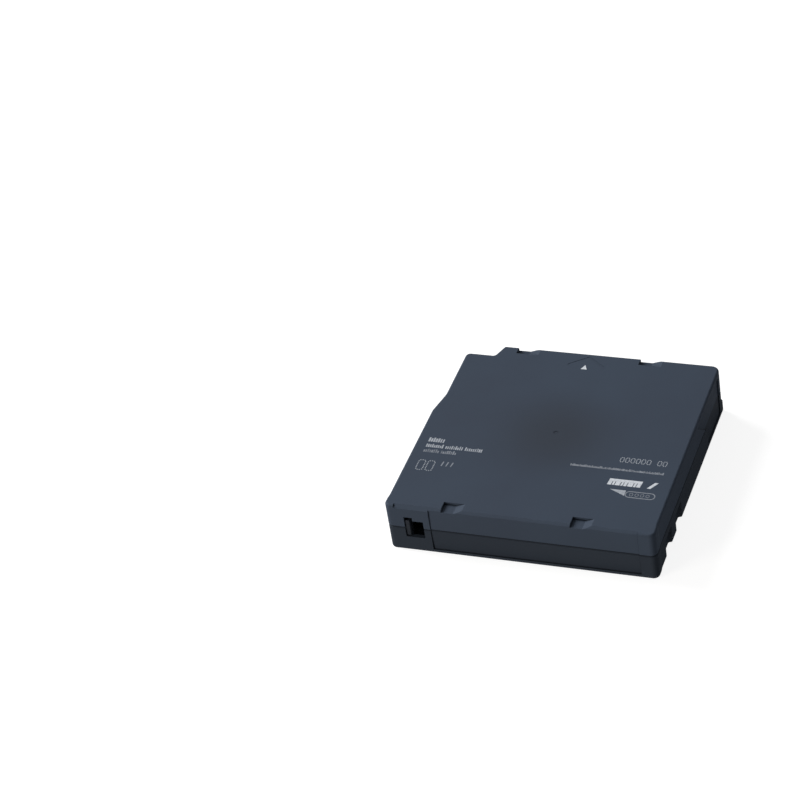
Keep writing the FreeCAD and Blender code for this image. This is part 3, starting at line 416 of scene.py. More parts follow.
# ---------------------------------------------------------------- node-built pieces
class NodeTree:
    """A Geometry Nodes tree with named inputs, whose result is baked into a plain mesh."""

    def __init__(self, name: str) -> None:
        """Starts a tree that takes and gives a geometry.

        Args:
            name: the tree's name.
        """
        self.tree = bpy.data.node_groups.new(name, "GeometryNodeTree")
        self.tree.interface.new_socket("Geometry", in_out="INPUT", socket_type="NodeSocketGeometry")
        self.tree.interface.new_socket("Geometry", in_out="OUTPUT", socket_type="NodeSocketGeometry")
        self.entry = self.tree.nodes.new("NodeGroupInput")
        self.exit = self.tree.nodes.new("NodeGroupOutput")
        self.identifiers: dict[str, str] = {}

    def size(self, name: str, kind: str = "Float") -> bpy.types.NodeSocket:
        """Adds a named input.

        Args:
            name: the input's name.
            kind: what it holds, "Float" or "Int".

        Returns:
            Its socket inside the tree.
        """
        item = self.tree.interface.new_socket(name, in_out="INPUT", socket_type="NodeSocket" + kind)
        self.identifiers[name] = item.identifier
        return self.entry.outputs[name]

    def end(self, geometry: bpy.types.NodeSocket, material: bpy.types.Material) -> None:
        """Realizes the instances, sets the material and closes the tree.

        Args:
            geometry: the shape.
            material: its finish.
        """
        real = add_node(self.tree, "GeometryNodeRealizeInstances", Geometry=geometry)
        finished = add_node(self.tree, "GeometryNodeSetMaterial", Geometry=real.outputs[0], Material=material)
        self.tree.links.new(finished.outputs[0], self.exit.inputs[0])

    def end_at_points(self, shape: bpy.types.NodeSocket, material: bpy.types.Material) -> None:
        """Puts a shape on each of the points that the tree is given, and closes the tree.

        Args:
            shape: the shape.
            material: its finish.
        """
        placed = add_node(self.tree, "GeometryNodeInstanceOnPoints", Points=self.entry.outputs["Geometry"],
                          Instance=shape)
        self.end(placed.outputs[0], material)

    def bake(self, name: str, points: Iterable[Vector], **sizes: object) -> bpy.types.Object:
        """Runs the tree on a cloud of points and gives a piece with the plain result.

        Args:
            name: the piece's name.
            points: places that the tree starts from.
            sizes: values of the named inputs.

        Returns:
            A mesh object with no modifier.
        """
        seed_mesh = bpy.data.meshes.new(name + "_points")
        seed_mesh.from_pydata([tuple(p) for p in points], [], [])
        piece = new_object(name, seed_mesh)
        modifier = piece.modifiers.new("build", "NODES")
        modifier.node_group = self.tree
        for label, value in sizes.items():
            modifier[self.identifiers[label]] = value
        bpy.context.view_layer.update()
        evaluated = piece.evaluated_get(bpy.context.evaluated_depsgraph_get())
        mesh = bpy.data.meshes.new_from_object(evaluated)
        piece.modifiers.remove(modifier)
        piece.data = mesh
        mesh.name = name
        return piece


def tick_tree(material: bpy.types.Material) -> NodeTree:
    """Rows of small upright ticks of uneven width and height, one row from each point.

    Args:
        material: the ink.

    Returns:
        A tree with the inputs Count, Seed, Pitch, Height, Thickness, Least, Most and Shortest.
    """
    t = NodeTree("tick_row")
    count, seed = t.size("Count", "Int"), t.size("Seed", "Int")
    pitch, height, thickness = t.size("Pitch"), t.size("Height"), t.size("Thickness")
    least, most, shortest = t.size("Least"), t.size("Most"), t.size("Shortest")
    offset = add_node(t.tree, AXES, X=pitch)
    row = add_node(t.tree, "GeometryNodeMeshLine", Count=count, Offset=offset.outputs[0])
    rows = add_node(t.tree, "GeometryNodeInstanceOnPoints", Points=t.entry.outputs["Geometry"],
                    Instance=row.outputs[0])
    places = add_node(t.tree, "GeometryNodeRealizeInstances", Geometry=rows.outputs[0])
    width = add_node(t.tree, "FunctionNodeRandomValue", FLOATS, i2=least, i3=most, Seed=seed)
    next_seed = add_node(t.tree, MATH, ADD, i0=seed, i1=1.0)
    share = add_node(t.tree, "FunctionNodeRandomValue", FLOATS, i2=shortest, i3=1.0,
                     Seed=next_seed.outputs[0])
    block = add_node(t.tree, "GeometryNodeMeshCube", Size=(1.0, 1.0, 1.0))
    tick = add_node(t.tree, "GeometryNodeSetPosition", Geometry=block.outputs[0], Offset=(0.0, 0.5, 0.0))
    tall = add_node(t.tree, MATH, MULTIPLY, i0=height, i1=share.outputs[1])
    scale = add_node(t.tree, AXES, X=width.outputs[1], Y=tall.outputs[0], Z=thickness)
    ticks = add_node(t.tree, "GeometryNodeInstanceOnPoints", Points=places.outputs[0],
                     Instance=tick.outputs[0], Scale=scale.outputs[0])
    t.end(ticks.outputs[0], material)
    return t


def dot_tree(material: bpy.types.Material) -> NodeTree:
    """A rounded outline of printed dots round each point.

    Args:
        material: the ink.

    Returns:
        A tree with the inputs Width, Height, Radius, Dot, Spacing and Thickness.
    """
    corner_points, dot_sides = 4, 8
    t = NodeTree("dotted_outline")
    width, height, radius = t.size("Width"), t.size("Height"), t.size("Radius")
    dot, spacing, thickness = t.size("Dot"), t.size("Spacing"), t.size("Thickness")
    square = add_node(t.tree, "GeometryNodeCurvePrimitiveQuadrilateral", Width=width, Height=height)
    rounded = add_node(t.tree, "GeometryNodeFilletCurve", {"mode": "POLY"}, Curve=square.outputs[0],
                       Radius=radius, Count=corner_points)
    points = add_node(t.tree, "GeometryNodeCurveToPoints", {"mode": "LENGTH"}, Curve=rounded.outputs[0],
                      Length=spacing)
    drop = add_node(t.tree, "GeometryNodeMeshCylinder", Vertices=dot_sides, Radius=dot,
                    Depth=thickness)
    dots = add_node(t.tree, "GeometryNodeInstanceOnPoints", Points=points.outputs[0],
                    Instance=drop.outputs[0])
    t.end_at_points(dots.outputs[0], material)
    return t


@dataclass
class Helix:
    """The nodes that a helix up the Z axis starts from: a line in many steps, and each step's angle."""

    tree: bpy.types.NodeTree
    turns: bpy.types.NodeSocket
    steps_a_turn: float

    def __post_init__(self) -> None:
        """Adds the line, the share of the way along it, and the cosine and sine of the angle."""
        line = add_node(self.tree, "GeometryNodeCurvePrimitiveLine", End=(0.0, 0.0, 1.0))
        steps = add_node(self.tree, MATH, MULTIPLY, i0=self.turns, i1=self.steps_a_turn)
        whole = add_node(self.tree, "FunctionNodeFloatToInt", i0=steps.outputs[0])
        self.line = add_node(self.tree, "GeometryNodeResampleCurve", Curve=line.outputs[0],
                             Count=whole.outputs[0]).outputs[0]
        self.share = add_node(self.tree, "GeometryNodeSplineParameter").outputs["Factor"]
        turned = add_node(self.tree, MATH, MULTIPLY, i0=self.share, i1=self.turns)
        angle = add_node(self.tree, MATH, MULTIPLY, i0=turned.outputs[0], i1=FULL_TURN)
        self.across = add_node(self.tree, MATH, COSINE, i0=angle.outputs[0]).outputs[0]
        self.along = add_node(self.tree, MATH, SINE, i0=angle.outputs[0]).outputs[0]

    def sweep(self, radius: bpy.types.NodeSocket, height: bpy.types.NodeSocket,
              section: bpy.types.NodeSocket) -> bpy.types.NodeSocket:
        """Bends the line into the helix and sweeps a section along it.

        Args:
            radius: the helix's radius at each step.
            height: the height at each step.
            section: the section's outline.

        Returns:
            The closed mesh.
        """
        x = add_node(self.tree, MATH, MULTIPLY, i0=self.across, i1=radius)
        y = add_node(self.tree, MATH, MULTIPLY, i0=self.along, i1=radius)
        place = add_node(self.tree, AXES, X=x.outputs[0], Y=y.outputs[0], Z=height)
        path = add_node(self.tree, "GeometryNodeSetPosition", Geometry=self.line, Position=place.outputs[0])
        return add_node(self.tree, "GeometryNodeCurveToMesh", Curve=path.outputs[0],
                        Profile_Curve=section, Fill_Caps=True).outputs[0]


def coil_tree(material: bpy.types.Material) -> NodeTree:
    """A compression spring up the Z axis from each point, with closed turns at both ends.

    Args:
        material: the spring wire.

    Returns:
        A tree with the inputs Turns, Closed, Radius, Wire and Length.
    """
    steps_a_turn, wire_sides = 28.0, 10
    t = NodeTree("coil_spring")
    turns, closed = t.size("Turns"), t.size("Closed")
    radius, wire, length = t.size("Radius"), t.size("Wire"), t.size("Length")
    helix = Helix(t.tree, turns, steps_a_turn)
    closed_until = add_node(t.tree, MATH, DIVIDE, i0=closed, i1=turns)
    closed_from = add_node(t.tree, MATH, SUBTRACT, i0=1.0, i1=closed_until.outputs[0])
    opened = add_node(t.tree, RANGE, SMOOTH, Value=helix.share, From_Min=closed_until.outputs[0],
                      From_Max=closed_from.outputs[0])
    thickness = add_node(t.tree, MATH, MULTIPLY, i0=wire, i1=2.0)
    solid = add_node(t.tree, MATH, MULTIPLY, i0=turns, i1=thickness.outputs[0])
    between = add_node(t.tree, MATH, SUBTRACT, i0=length, i1=thickness.outputs[0])
    air = add_node(t.tree, MATH, SUBTRACT, i0=between.outputs[0], i1=solid.outputs[0])
    stacked = add_node(t.tree, MATH, MULTIPLY, i0=helix.share, i1=solid.outputs[0])
    lifted = add_node(t.tree, MATH, MULTIPLY, i0=opened.outputs[0], i1=air.outputs[0])
    height = add_node(t.tree, MATH, ADD, i0=stacked.outputs[0], i1=lifted.outputs[0])
    raised = add_node(t.tree, MATH, ADD, i0=height.outputs[0], i1=wire)
    section = add_node(t.tree, "GeometryNodeCurvePrimitiveCircle", Resolution=wire_sides, Radius=wire)
    t.end_at_points(helix.sweep(radius, raised.outputs[0], section.outputs[0]), material)
    return t


def thread_tree(material: bpy.types.Material) -> NodeTree:
    """A sharp helical ridge up the Z axis from each point, tapered away at its tip.

    Args:
        material: the screw's plating.

    Returns:
        A tree with the inputs Turns, Radius, Depth and Length.
    """
    steps_a_turn, ridge_sides, taper_from, tip_share = 20.0, 3, 0.88, 0.45
    t = NodeTree("screw_thread")
    turns, radius, depth, length = t.size("Turns"), t.size("Radius"), t.size("Depth"), t.size("Length")
    helix = Helix(t.tree, turns, steps_a_turn)
    taper = add_node(t.tree, RANGE, Value=helix.share, From_Min=taper_from, From_Max=1.0, To_Min=1.0,
                     To_Max=tip_share)
    reach = add_node(t.tree, MATH, MULTIPLY, i0=radius, i1=taper.outputs[0])
    height = add_node(t.tree, MATH, MULTIPLY, i0=helix.share, i1=length)
    section = add_node(t.tree, "GeometryNodeCurvePrimitiveCircle", Resolution=ridge_sides, Radius=depth)
    t.end_at_points(helix.sweep(reach.outputs[0], height.outputs[0], section.outputs[0]), material)
    return t


def loop_tree(material: bpy.types.Material) -> NodeTree:
    """Flat rectangular loops, one inside the other, on the XY plane round each point.

    Args:
        material: the copper.

    Returns:
        A tree with the inputs Loops, Width, Height, Step and Track.
    """
    flatness = 0.3
    t = NodeTree("antenna_loops")
    loops = t.size("Loops", "Int")
    width, height, step, track = t.size("Width"), t.size("Height"), t.size("Step"), t.size("Track")
    stack = add_node(t.tree, "GeometryNodeMeshLine", Count=loops, Offset=(0.0, 0.0, 0.0))
    loop = add_node(t.tree, "GeometryNodeCurvePrimitiveQuadrilateral", Width=1.0, Height=1.0)
    index = add_node(t.tree, "GeometryNodeInputIndex")
    inset = add_node(t.tree, MATH, MULTIPLY, i0=index.outputs[0], i1=step)
    shrink = add_node(t.tree, MATH, MULTIPLY, i0=inset.outputs[0], i1=2.0)
    wide = add_node(t.tree, MATH, SUBTRACT, i0=width, i1=shrink.outputs[0])
    high = add_node(t.tree, MATH, SUBTRACT, i0=height, i1=shrink.outputs[0])
    scale = add_node(t.tree, AXES, X=wide.outputs[0], Y=high.outputs[0], Z=1.0)
    copies = add_node(t.tree, "GeometryNodeInstanceOnPoints", Points=stack.outputs[0],
                      Instance=loop.outputs[0], Scale=scale.outputs[0])
    curves = add_node(t.tree, "GeometryNodeRealizeInstances", Geometry=copies.outputs[0])
    thin = add_node(t.tree, MATH, MULTIPLY, i0=track, i1=flatness)
    section = add_node(t.tree, "GeometryNodeCurvePrimitiveQuadrilateral", Width=thin.outputs[0],
                       Height=track)
    tracks = add_node(t.tree, "GeometryNodeCurveToMesh", Curve=curves.outputs[0],
                      Profile_Curve=section.outputs[0])
    t.end_at_points(tracks.outputs[0], material)
    return t


# ---------------------------------------------------------------- print
@dataclass(frozen=True)
class TickLine:
    """One printed line of plain ticks, in groups of like length.

    All lengths are in millimetres, x from the group's margin and y from the label end. The shortest
    tick is a share of the height, and the least and most widths are shares of the pitch.
    """

    name: str
    x: float
    y: float
    height: float
    pitch: float
    ticks: int
    seed: int
    groups: int = 1
    gap: float = 0.0
    shortest: float = 0.7
    least: float = 0.3
    most: float = 0.8


@dataclass(frozen=True)
class DottedRow:
    """A row of equal rounded outlines printed in dots, some places left blank.

    All lengths are in millimetres, x from the group's margin and y from the label end.
    """

    name: str
    x: float
    y: float
    width: float
    height: float
    pitch: float
    count: int
    blanks: tuple[int, ...] = ()
    radius: float = 0.6
    dot: float = 0.42
    spacing: float = 0.72


@dataclass(frozen=True)
class BarRow:
    """A row of plain slanted bars, in millimetres, x from the group's margin and y from the label end."""

    x: float
    y: float
    height: float
    widths: tuple[float, ...]
    gap: float


@dataclass
class Printing:
    """Pad-printed marks on the top face: plain ticks, bars and outlines that say nothing.

    All lengths are in millimetres. The left group is placed from the left margin, the right group
    from the right margin with x below zero, and both from the label end.
    """

    thickness: float = 0.02
    side_margin: float = 4.9
    slant: float = 0.12
    corner_steps: int = 6

    arrow_half: float = 1.25
    arrow_length: float = 2.7
    arrow_from_front: float = 7.4
    arrow_shift: float = -0.3

    left_first: TickLine = TickLine("print_left_first_line", x=0.0, y=38.9, height=2.6, pitch=0.95,
                                    ticks=7, seed=3, shortest=0.75, least=0.45, most=0.8)
    left_second: TickLine = TickLine("print_left_second_line", x=0.0, y=35.6, height=2.2, pitch=0.8,
                                     ticks=9, seed=5, groups=3, gap=0.7, shortest=0.6, least=0.4,
                                     most=0.8)
    left_third: TickLine = TickLine("print_left_third_line", x=0.0, y=32.6, height=2.0, pitch=0.8,
                                    ticks=8, seed=7, groups=2, gap=0.6, shortest=0.55, least=0.35,
                                    most=0.75)
    left_outlines: DottedRow = DottedRow("print_left_outlines", x=0.4, y=22.0, width=2.7, height=5.8,
                                         pitch=3.8, count=2, radius=0.9, dot=0.5, spacing=0.95)
    left_bars: BarRow = BarRow(x=9.6, y=25.4, height=2.6, widths=(0.45, 0.45, 0.45), gap=1.45)

    right_outlines: DottedRow = DottedRow("print_right_outlines", x=-18.8, y=39.0, width=1.35,
                                          height=2.6, pitch=2.08, count=9, blanks=(6,), dot=0.46)
    right_line: TickLine = TickLine("print_right_long_line", x=-36.9, y=33.9, height=1.4, pitch=0.52,
                                    ticks=70, seed=11, shortest=0.5, least=0.5, most=1.0)
    comb_teeth: BarRow = BarRow(x=-20.1, y=25.5, height=2.16,
                                widths=(1.5, 0.8, 1.9, 0.8, 1.2, 2.0, 0.9, 1.5), gap=0.3)
    comb_height: float = 3.6
    comb_overlap: float = 0.05
    slash_x: float = -4.7
    slash_width: float = 1.4
    slash_lean: float = 2.3
    capsule_x: float = -11.9
    capsule_y: float = 19.3
    capsule_width: float = 11.6
    capsule_height: float = 3.7
    capsule_stroke: float = 0.4
    capsule_radius: float = 1.8
    capsule_marks: DottedRow = DottedRow("print_right_capsule_marks", x=-10.1, y=20.4, width=1.2,
                                         height=1.5, pitch=2.1, count=4, radius=0.5, dot=0.4,
                                         spacing=0.6)
    wedge_x: float = -18.2
    wedge_top: float = 23.1
    wedge_width: float = 6.2
    wedge_height: float = 3.0

    corners: list[Vector] = field(default_factory=list)
    faces: list[list[int]] = field(default_factory=list)

    def __post_init__(self) -> None:
        """Takes the top face's place from the case."""
        low, high, _ = box_size("top_shell")
        self.left = low.x / MM + self.side_margin
        self.right = high.x / MM - self.side_margin
        self.end = low.y / MM
        self.front = high.y / MM
        self.top = high.z

    def outline(self, points: Sequence[tuple[float, float]]) -> None:
        """Adds one closed mark as a thin slab.

        Args:
            points: its corners in millimetres, in the case's own frame and turning to the left.
        """
        start, count = len(self.corners), len(points)
        for z in (self.top, self.top + self.thickness * MM):
            self.corners += [Vector((x * MM, y * MM, z)) for x, y in points]
        self.faces.append([start + count + i for i in range(count)])
        self.faces.append([start + i for i in reversed(range(count))])
        for i in range(count):
            j = (i + 1) % count
            self.faces.append([start + i, start + j, start + count + j, start + count + i])

    def bars(self, margin: float, row: BarRow) -> None:
        """Adds a row of plain slanted bars.

        Args:
            margin: where the group's x starts.
            row: the bars' places and widths.
        """
        x, y, lean = margin + row.x, self.end + row.y, self.slant * row.height
        for width in row.widths:
            self.outline([(x, y), (x + width, y), (x + width + lean, y + row.height),
                          (x + lean, y + row.height)])
            x += width + row.gap

    def capsule(self) -> None:
        """Adds an empty outline with round ends to the right group."""
        x, y = self.right + self.capsule_x, self.end + self.capsule_y
        radius, thin = self.capsule_radius, self.capsule_radius - self.capsule_stroke
        right, top = x + self.capsule_width - radius, y + self.capsule_height - radius
        centres = [(right, y + radius, -90), (right, top, 0), (x + radius, top, 90),
                   (x + radius, y + radius, 180)]
        outer, inner = [], []
        for centre_x, centre_y, start in centres:
            for i in range(self.corner_steps + 1):
                angle = math.radians(start + 90 * i / self.corner_steps)
                outer.append((centre_x + radius * math.cos(angle), centre_y + radius * math.sin(angle)))
                inner.append((centre_x + thin * math.cos(angle), centre_y + thin * math.sin(angle)))
        for i in range(len(outer)):
            j = (i + 1) % len(outer)
            self.outline([outer[i], outer[j], inner[j], inner[i]])

    def take(self, name: str, material: bpy.types.Material) -> None:
        """Turns the marks so far into one piece on the case, and starts afresh.

        Args:
            name: the piece's name.
            material: its ink.
        """
        mesh = bpy.data.meshes.new(name)
        mesh.from_pydata([tuple(c) for c in self.corners], [], self.faces)
        mesh.materials.append(material)
        self.corners, self.faces = [], []
        settle(new_object(name, mesh), CASE)

    def on_top(self, x: float, y: float) -> Vector:
        """Gives the middle of the ink's thickness over a place in millimetres."""
        return Vector((x * MM, (self.end + y) * MM, self.top + self.thickness * MM / 2))

    def dotted_outlines(self, tree: NodeTree, margin: float, row: DottedRow) -> None:
        """Makes a row of dotted outlines.

        Args:
            tree: the tree of one outline.
            margin: where the group's x starts.
            row: the outlines' places and sizes.
        """
        starts = [self.on_top(margin + row.x + i * row.pitch + row.width / 2, row.y + row.height / 2)
                  for i in range(row.count) if i not in row.blanks]
        piece = tree.bake(row.name, starts, Width=row.width * MM, Height=row.height * MM,
                          Radius=row.radius * MM, Dot=row.dot / 2 * MM, Spacing=row.spacing * MM,
                          Thickness=self.thickness * MM)
        settle(piece, CASE)

    def tick_line(self, tree: NodeTree, margin: float, line: TickLine) -> None:
        """Makes one line of ticks.

        Args:
            tree: the tree of one group of ticks.
            margin: where the group's x starts.
            line: the ticks' places and sizes.
        """
        step = line.ticks * line.pitch + line.gap
        starts = [self.on_top(margin + line.x + i * step + line.pitch / 2, line.y)
                  for i in range(line.groups)]
        piece = tree.bake(line.name, starts, Count=line.ticks, Seed=line.seed, Pitch=line.pitch * MM,
                          Height=line.height * MM, Thickness=self.thickness * MM, Shortest=line.shortest,
                          Least=line.least * line.pitch * MM, Most=line.most * line.pitch * MM)
        settle(piece, CASE)

    def build(self, bright: bpy.types.Material, dim: bpy.types.Material, faint: bpy.types.Material) -> None:
        """Makes all the marks of the top face.

        Args:
            bright: full ink of the arrow and of the right-hand comb.
            dim: thinner ink of both groups.
            faint: thinnest ink, of the finest marks.
        """
        self.left_group(dim, faint)
        self.right_group(bright, dim, faint)
        tip = self.front - self.arrow_from_front
        base = tip - self.arrow_length
        self.outline([(self.arrow_shift - self.arrow_half, base), (self.arrow_shift + self.arrow_half, base),
                      (self.arrow_shift, tip)])
        self.take("print_loading_arrow", bright)

    def left_group(self, dim: bpy.types.Material, faint: bpy.types.Material) -> None:
        """Makes three lines of ticks, and a pair of tall dotted outlines with a few bars.

        Args:
            dim: ink of the upper lines and the outlines.
            faint: ink of the third line and the bars.
        """
        dim_ticks = tick_tree(dim)
        self.tick_line(dim_ticks, self.left, self.left_first)
        self.tick_line(dim_ticks, self.left, self.left_second)
        self.tick_line(tick_tree(faint), self.left, self.left_third)
        self.dotted_outlines(dot_tree(dim), self.left, self.left_outlines)
        self.bars(self.left, self.left_bars)
        self.take("print_left_block", faint)

    def right_group(self, bright: bpy.types.Material, dim: bpy.types.Material,
                    faint: bpy.types.Material) -> None:
        """Makes dotted outlines, a long fine line, a comb with a slash, and a wedge with a capsule.

        Args:
            bright: ink of the comb and the slash.
            dim: ink of the outlines and the wedge.
            faint: ink of the long line and the capsule.
        """
        self.dotted_outlines(dot_tree(dim), self.right, self.right_outlines)
        self.tick_line(tick_tree(faint), self.right, self.right_line)
        self.comb()
        self.slash()
        self.take("print_right_block", bright)
        self.capsule()
        self.take("print_right_capsule", faint)
        self.dotted_outlines(dot_tree(faint), self.right, self.capsule_marks)
        wedge, top = self.right + self.wedge_x, self.end + self.wedge_top
        self.outline([(wedge, top), (wedge + self.wedge_width, top - self.wedge_height),
                      (wedge + self.wedge_width, top)])
        self.take("print_right_wedge", dim)

    def comb(self) -> None:
        """Adds bars that hang like teeth from one long bar to the right group."""
        teeth = self.comb_teeth
        spine_width = sum(teeth.widths) + teeth.gap * (len(teeth.widths) - 1)
        spine = BarRow(teeth.x + self.slant * teeth.height, teeth.y + teeth.height - self.comb_overlap,
                       self.comb_height - teeth.height, (spine_width,), 0.0)
        self.bars(self.right, teeth)
        self.bars(self.right, spine)

    def slash(self) -> None:
        """Adds one strongly slanted bar, as tall as the comb, to the right group."""
        x, y = self.right + self.slash_x, self.end + self.comb_teeth.y
        top = y + self.comb_height
        self.outline([(x, y), (x + self.slash_width, y), (x + self.slash_width + self.slash_lean, top),
                      (x + self.slash_lean, top)])


# ---------------------------------------------------------------- sub-assemblies
@dataclass
class CaseShells:
    """Both halves of the case, their screws and the memory in the corner."""

    screw_head: float = 2.4 * MM
    screw_tip: float = 0.4 * MM
    thread_radius: float = 0.95 * MM
    thread_pitch: float = 0.9 * MM
    thread_depth: float = 0.22 * MM
    board_thickness: float = 0.8 * MM
    board_tilt: float = -45.0
    antenna_loops: int = 5
    antenna_end_margins: float = 1.2 * MM
    antenna_side_margins: float = 1.0 * MM
    track_step: float = 0.5 * MM
    track_width: float = 0.22 * MM
    track_lift: float = 0.03 * MM

    def build(self, upper: bpy.types.Material, lower: bpy.types.Material, plating: bpy.types.Material,
              board: bpy.types.Material, copper: bpy.types.Material, epoxy: bpy.types.Material) -> None:
        """Dresses the shells and adds the threads and the antenna.

        Args:
            upper: plastic of the upper half.
            lower: plastic of the lower half.
            plating: plated steel of the screws.
            board: lacquer of the memory board.
            copper: copper of its antenna.
            epoxy: case of its chip.
        """
        dress_node("top_shell", upper)
        dress_node("bottom_shell", lower)
        self.screws(plating)
        self.memory(board, copper, epoxy)

    def screws(self, plating: bpy.types.Material) -> None:
        """Dresses the case screws and gives them their threads.

        Args:
            plating: plated steel of the screws.
        """
        names = sorted(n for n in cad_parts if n.startswith("case_screw_"))
        starts = []
        for name in names:
            dress_node(name, plating)
            low, high, middle = box_size(name)
            starts.append(Vector((middle.x, middle.y, low.z + self.screw_head)))
        # the four screws are alike, so the last one gives the thread's length
        length = high.z - low.z - self.screw_head - self.screw_tip
        piece = thread_tree(plating).bake("case_screw_threads", starts, Turns=length / self.thread_pitch,
                                          Radius=self.thread_radius, Depth=self.thread_depth,
                                          Length=length)
        settle(piece, CASE)

    def memory(self, board: bpy.types.Material, copper: bpy.types.Material,
               epoxy: bpy.types.Material) -> None:
        """Dresses the memory board and its chip, and lays the antenna on the tilted board.

        Args:
            board: lacquer of the board.
            copper: copper of the antenna.
            epoxy: case of the chip.
        """
        dress_node("memory_board", board)
        dress_node("memory_chip", epoxy)
        low, high, middle = box_size("memory_board")
        tilt = Matrix.Rotation(math.radians(self.board_tilt), 4, "X")
        face = Vector((0, 1, 1)).normalized()
        # the board leans at 45 degrees, so the square root of two leads from its box to its width
        length = high.x - low.x
        width = (high.y - low.y - self.board_thickness / math.sqrt(2)) * math.sqrt(2)
        piece = loop_tree(copper).bake("memory_antenna", [Vector((0, 0, 0))], Loops=self.antenna_loops,
                                       Width=length - self.antenna_end_margins,
                                       Height=width - self.antenna_side_margins,
                                       Step=self.track_step, Track=self.track_width)
        centre = middle + face * (self.board_thickness / 2 + self.track_lift)
        piece.data.transform(Matrix.Translation(centre) @ tilt)
        settle(piece, CASE)


@dataclass
class Reel:
    """Hub, flanges, clutch plate and wound tape."""

    def build(self, hub: bpy.types.Material, flange: bpy.types.Material, film: bpy.types.Material,
              plate: bpy.types.Material) -> None:
        """Dresses the reel's pieces.

        Args:
            hub: plastic of the hub and its lower flange.
            flange: plastic of the upper flange.
            film: the tape.
            plate: steel of the clutch plate.
        """
        dress_node("reel_hub", hub)
        dress_node("upper_flange", flange)
        dress_node("tape_pack", film)
        dress_node("tape_end", film)
        dress_node("clutch_plate", plate)


@dataclass
class ReelLock:
    """Brake and the pad that lifts it."""

    def build(self, acetal: bpy.types.Material) -> None:
        """Dresses the brake and the pad."""
        dress_node("brake_button", acetal)
        dress_node("release_pad", acetal)


@dataclass
class TapeOpening:
    """Side door, and the pin behind it with its clip and its spring."""

    def build(self, door: bpy.types.Material, pin: bpy.types.Material, sheet: bpy.types.Material,
              clip: bpy.types.Material) -> None:
        """Dresses the door and what lies behind it.

        Args:
            door: plastic of the door.
            pin: steel of the pin.
            sheet: steel of the pin's spring.
            clip: plastic of the clip.
        """
        dress_node("access_door", door)
        dress_node("leader_pin", pin)
        dress_node("pin_spring", sheet)
        dress_node("tape_clip", clip)


@dataclass
class WriteProtect:
    """The slider in the window of the label end."""

    def build(self, plastic: bpy.types.Material) -> None:
        """Dresses the slider."""
        dress_node("write_protect_slider", plastic)


@dataclass
class Springs:
    """The two coil springs, made in place of the plain ones and carried with the case."""

    brake_turns: float = 5.5
    brake_wire: float = 0.45 * MM
    door_turns: float = 15.0
    door_wire: float = 0.2 * MM
    closed_turns: float = 1.0

    def build(self, wire: bpy.types.Material) -> None:
        """Makes both springs in place of the plain ones.

        Args:
            wire: spring steel.
        """
        tree = coil_tree(wire)
        self.brake_spring(tree)
        self.door_spring(tree)

    def brake_spring(self, tree: NodeTree) -> None:
        """Makes the spring between the brake and the top of the case.

        Args:
            tree: the tree of one coil.
        """
        low, high, middle = box_size("brake_spring")
        length = high.z - low.z
        radius = (high.x - low.x) / 2 - self.brake_wire
        piece = tree.bake("brake_spring_coil", [Vector((0, 0, 0))], Turns=self.brake_turns,
                          Closed=self.closed_turns, Radius=radius, Wire=self.brake_wire, Length=length)
        piece.data.transform(Matrix.Translation((middle.x, middle.y, low.z)))
        settle(piece, CASE)
        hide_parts("brake_spring")
        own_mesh(piece)

    def door_spring(self, tree: NodeTree) -> None:
        """Makes the spring between the post in the case and the door's tail.

        Args:
            tree: the tree of one coil.
        """
        low, high, middle = box_size("door_spring")
        length = high.y - low.y
        radius = (high.x - low.x) / 2 - self.door_wire
        piece = tree.bake("door_spring_coil", [Vector((0, 0, 0))], Turns=self.door_turns,
                          Closed=self.closed_turns, Radius=radius, Wire=self.door_wire, Length=length)
        laid_along_y = Matrix.Rotation(-FULL_TURN / 4, 4, "X")
        piece.data.transform(Matrix.Translation((middle.x, low.y, middle.z)) @ laid_along_y)
        settle(piece, CASE)
        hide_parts("door_spring")
        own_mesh(piece)


# ---------------------------------------------------------------- studio
@dataclass(frozen=True)
class Softbox:
    """A square lamp that faces the cartridge: its place and side in metres, its power in watts."""

    name: str
    place: tuple[float, float, float]
    side: float
    power: float
    tint: str = "#ffffff"


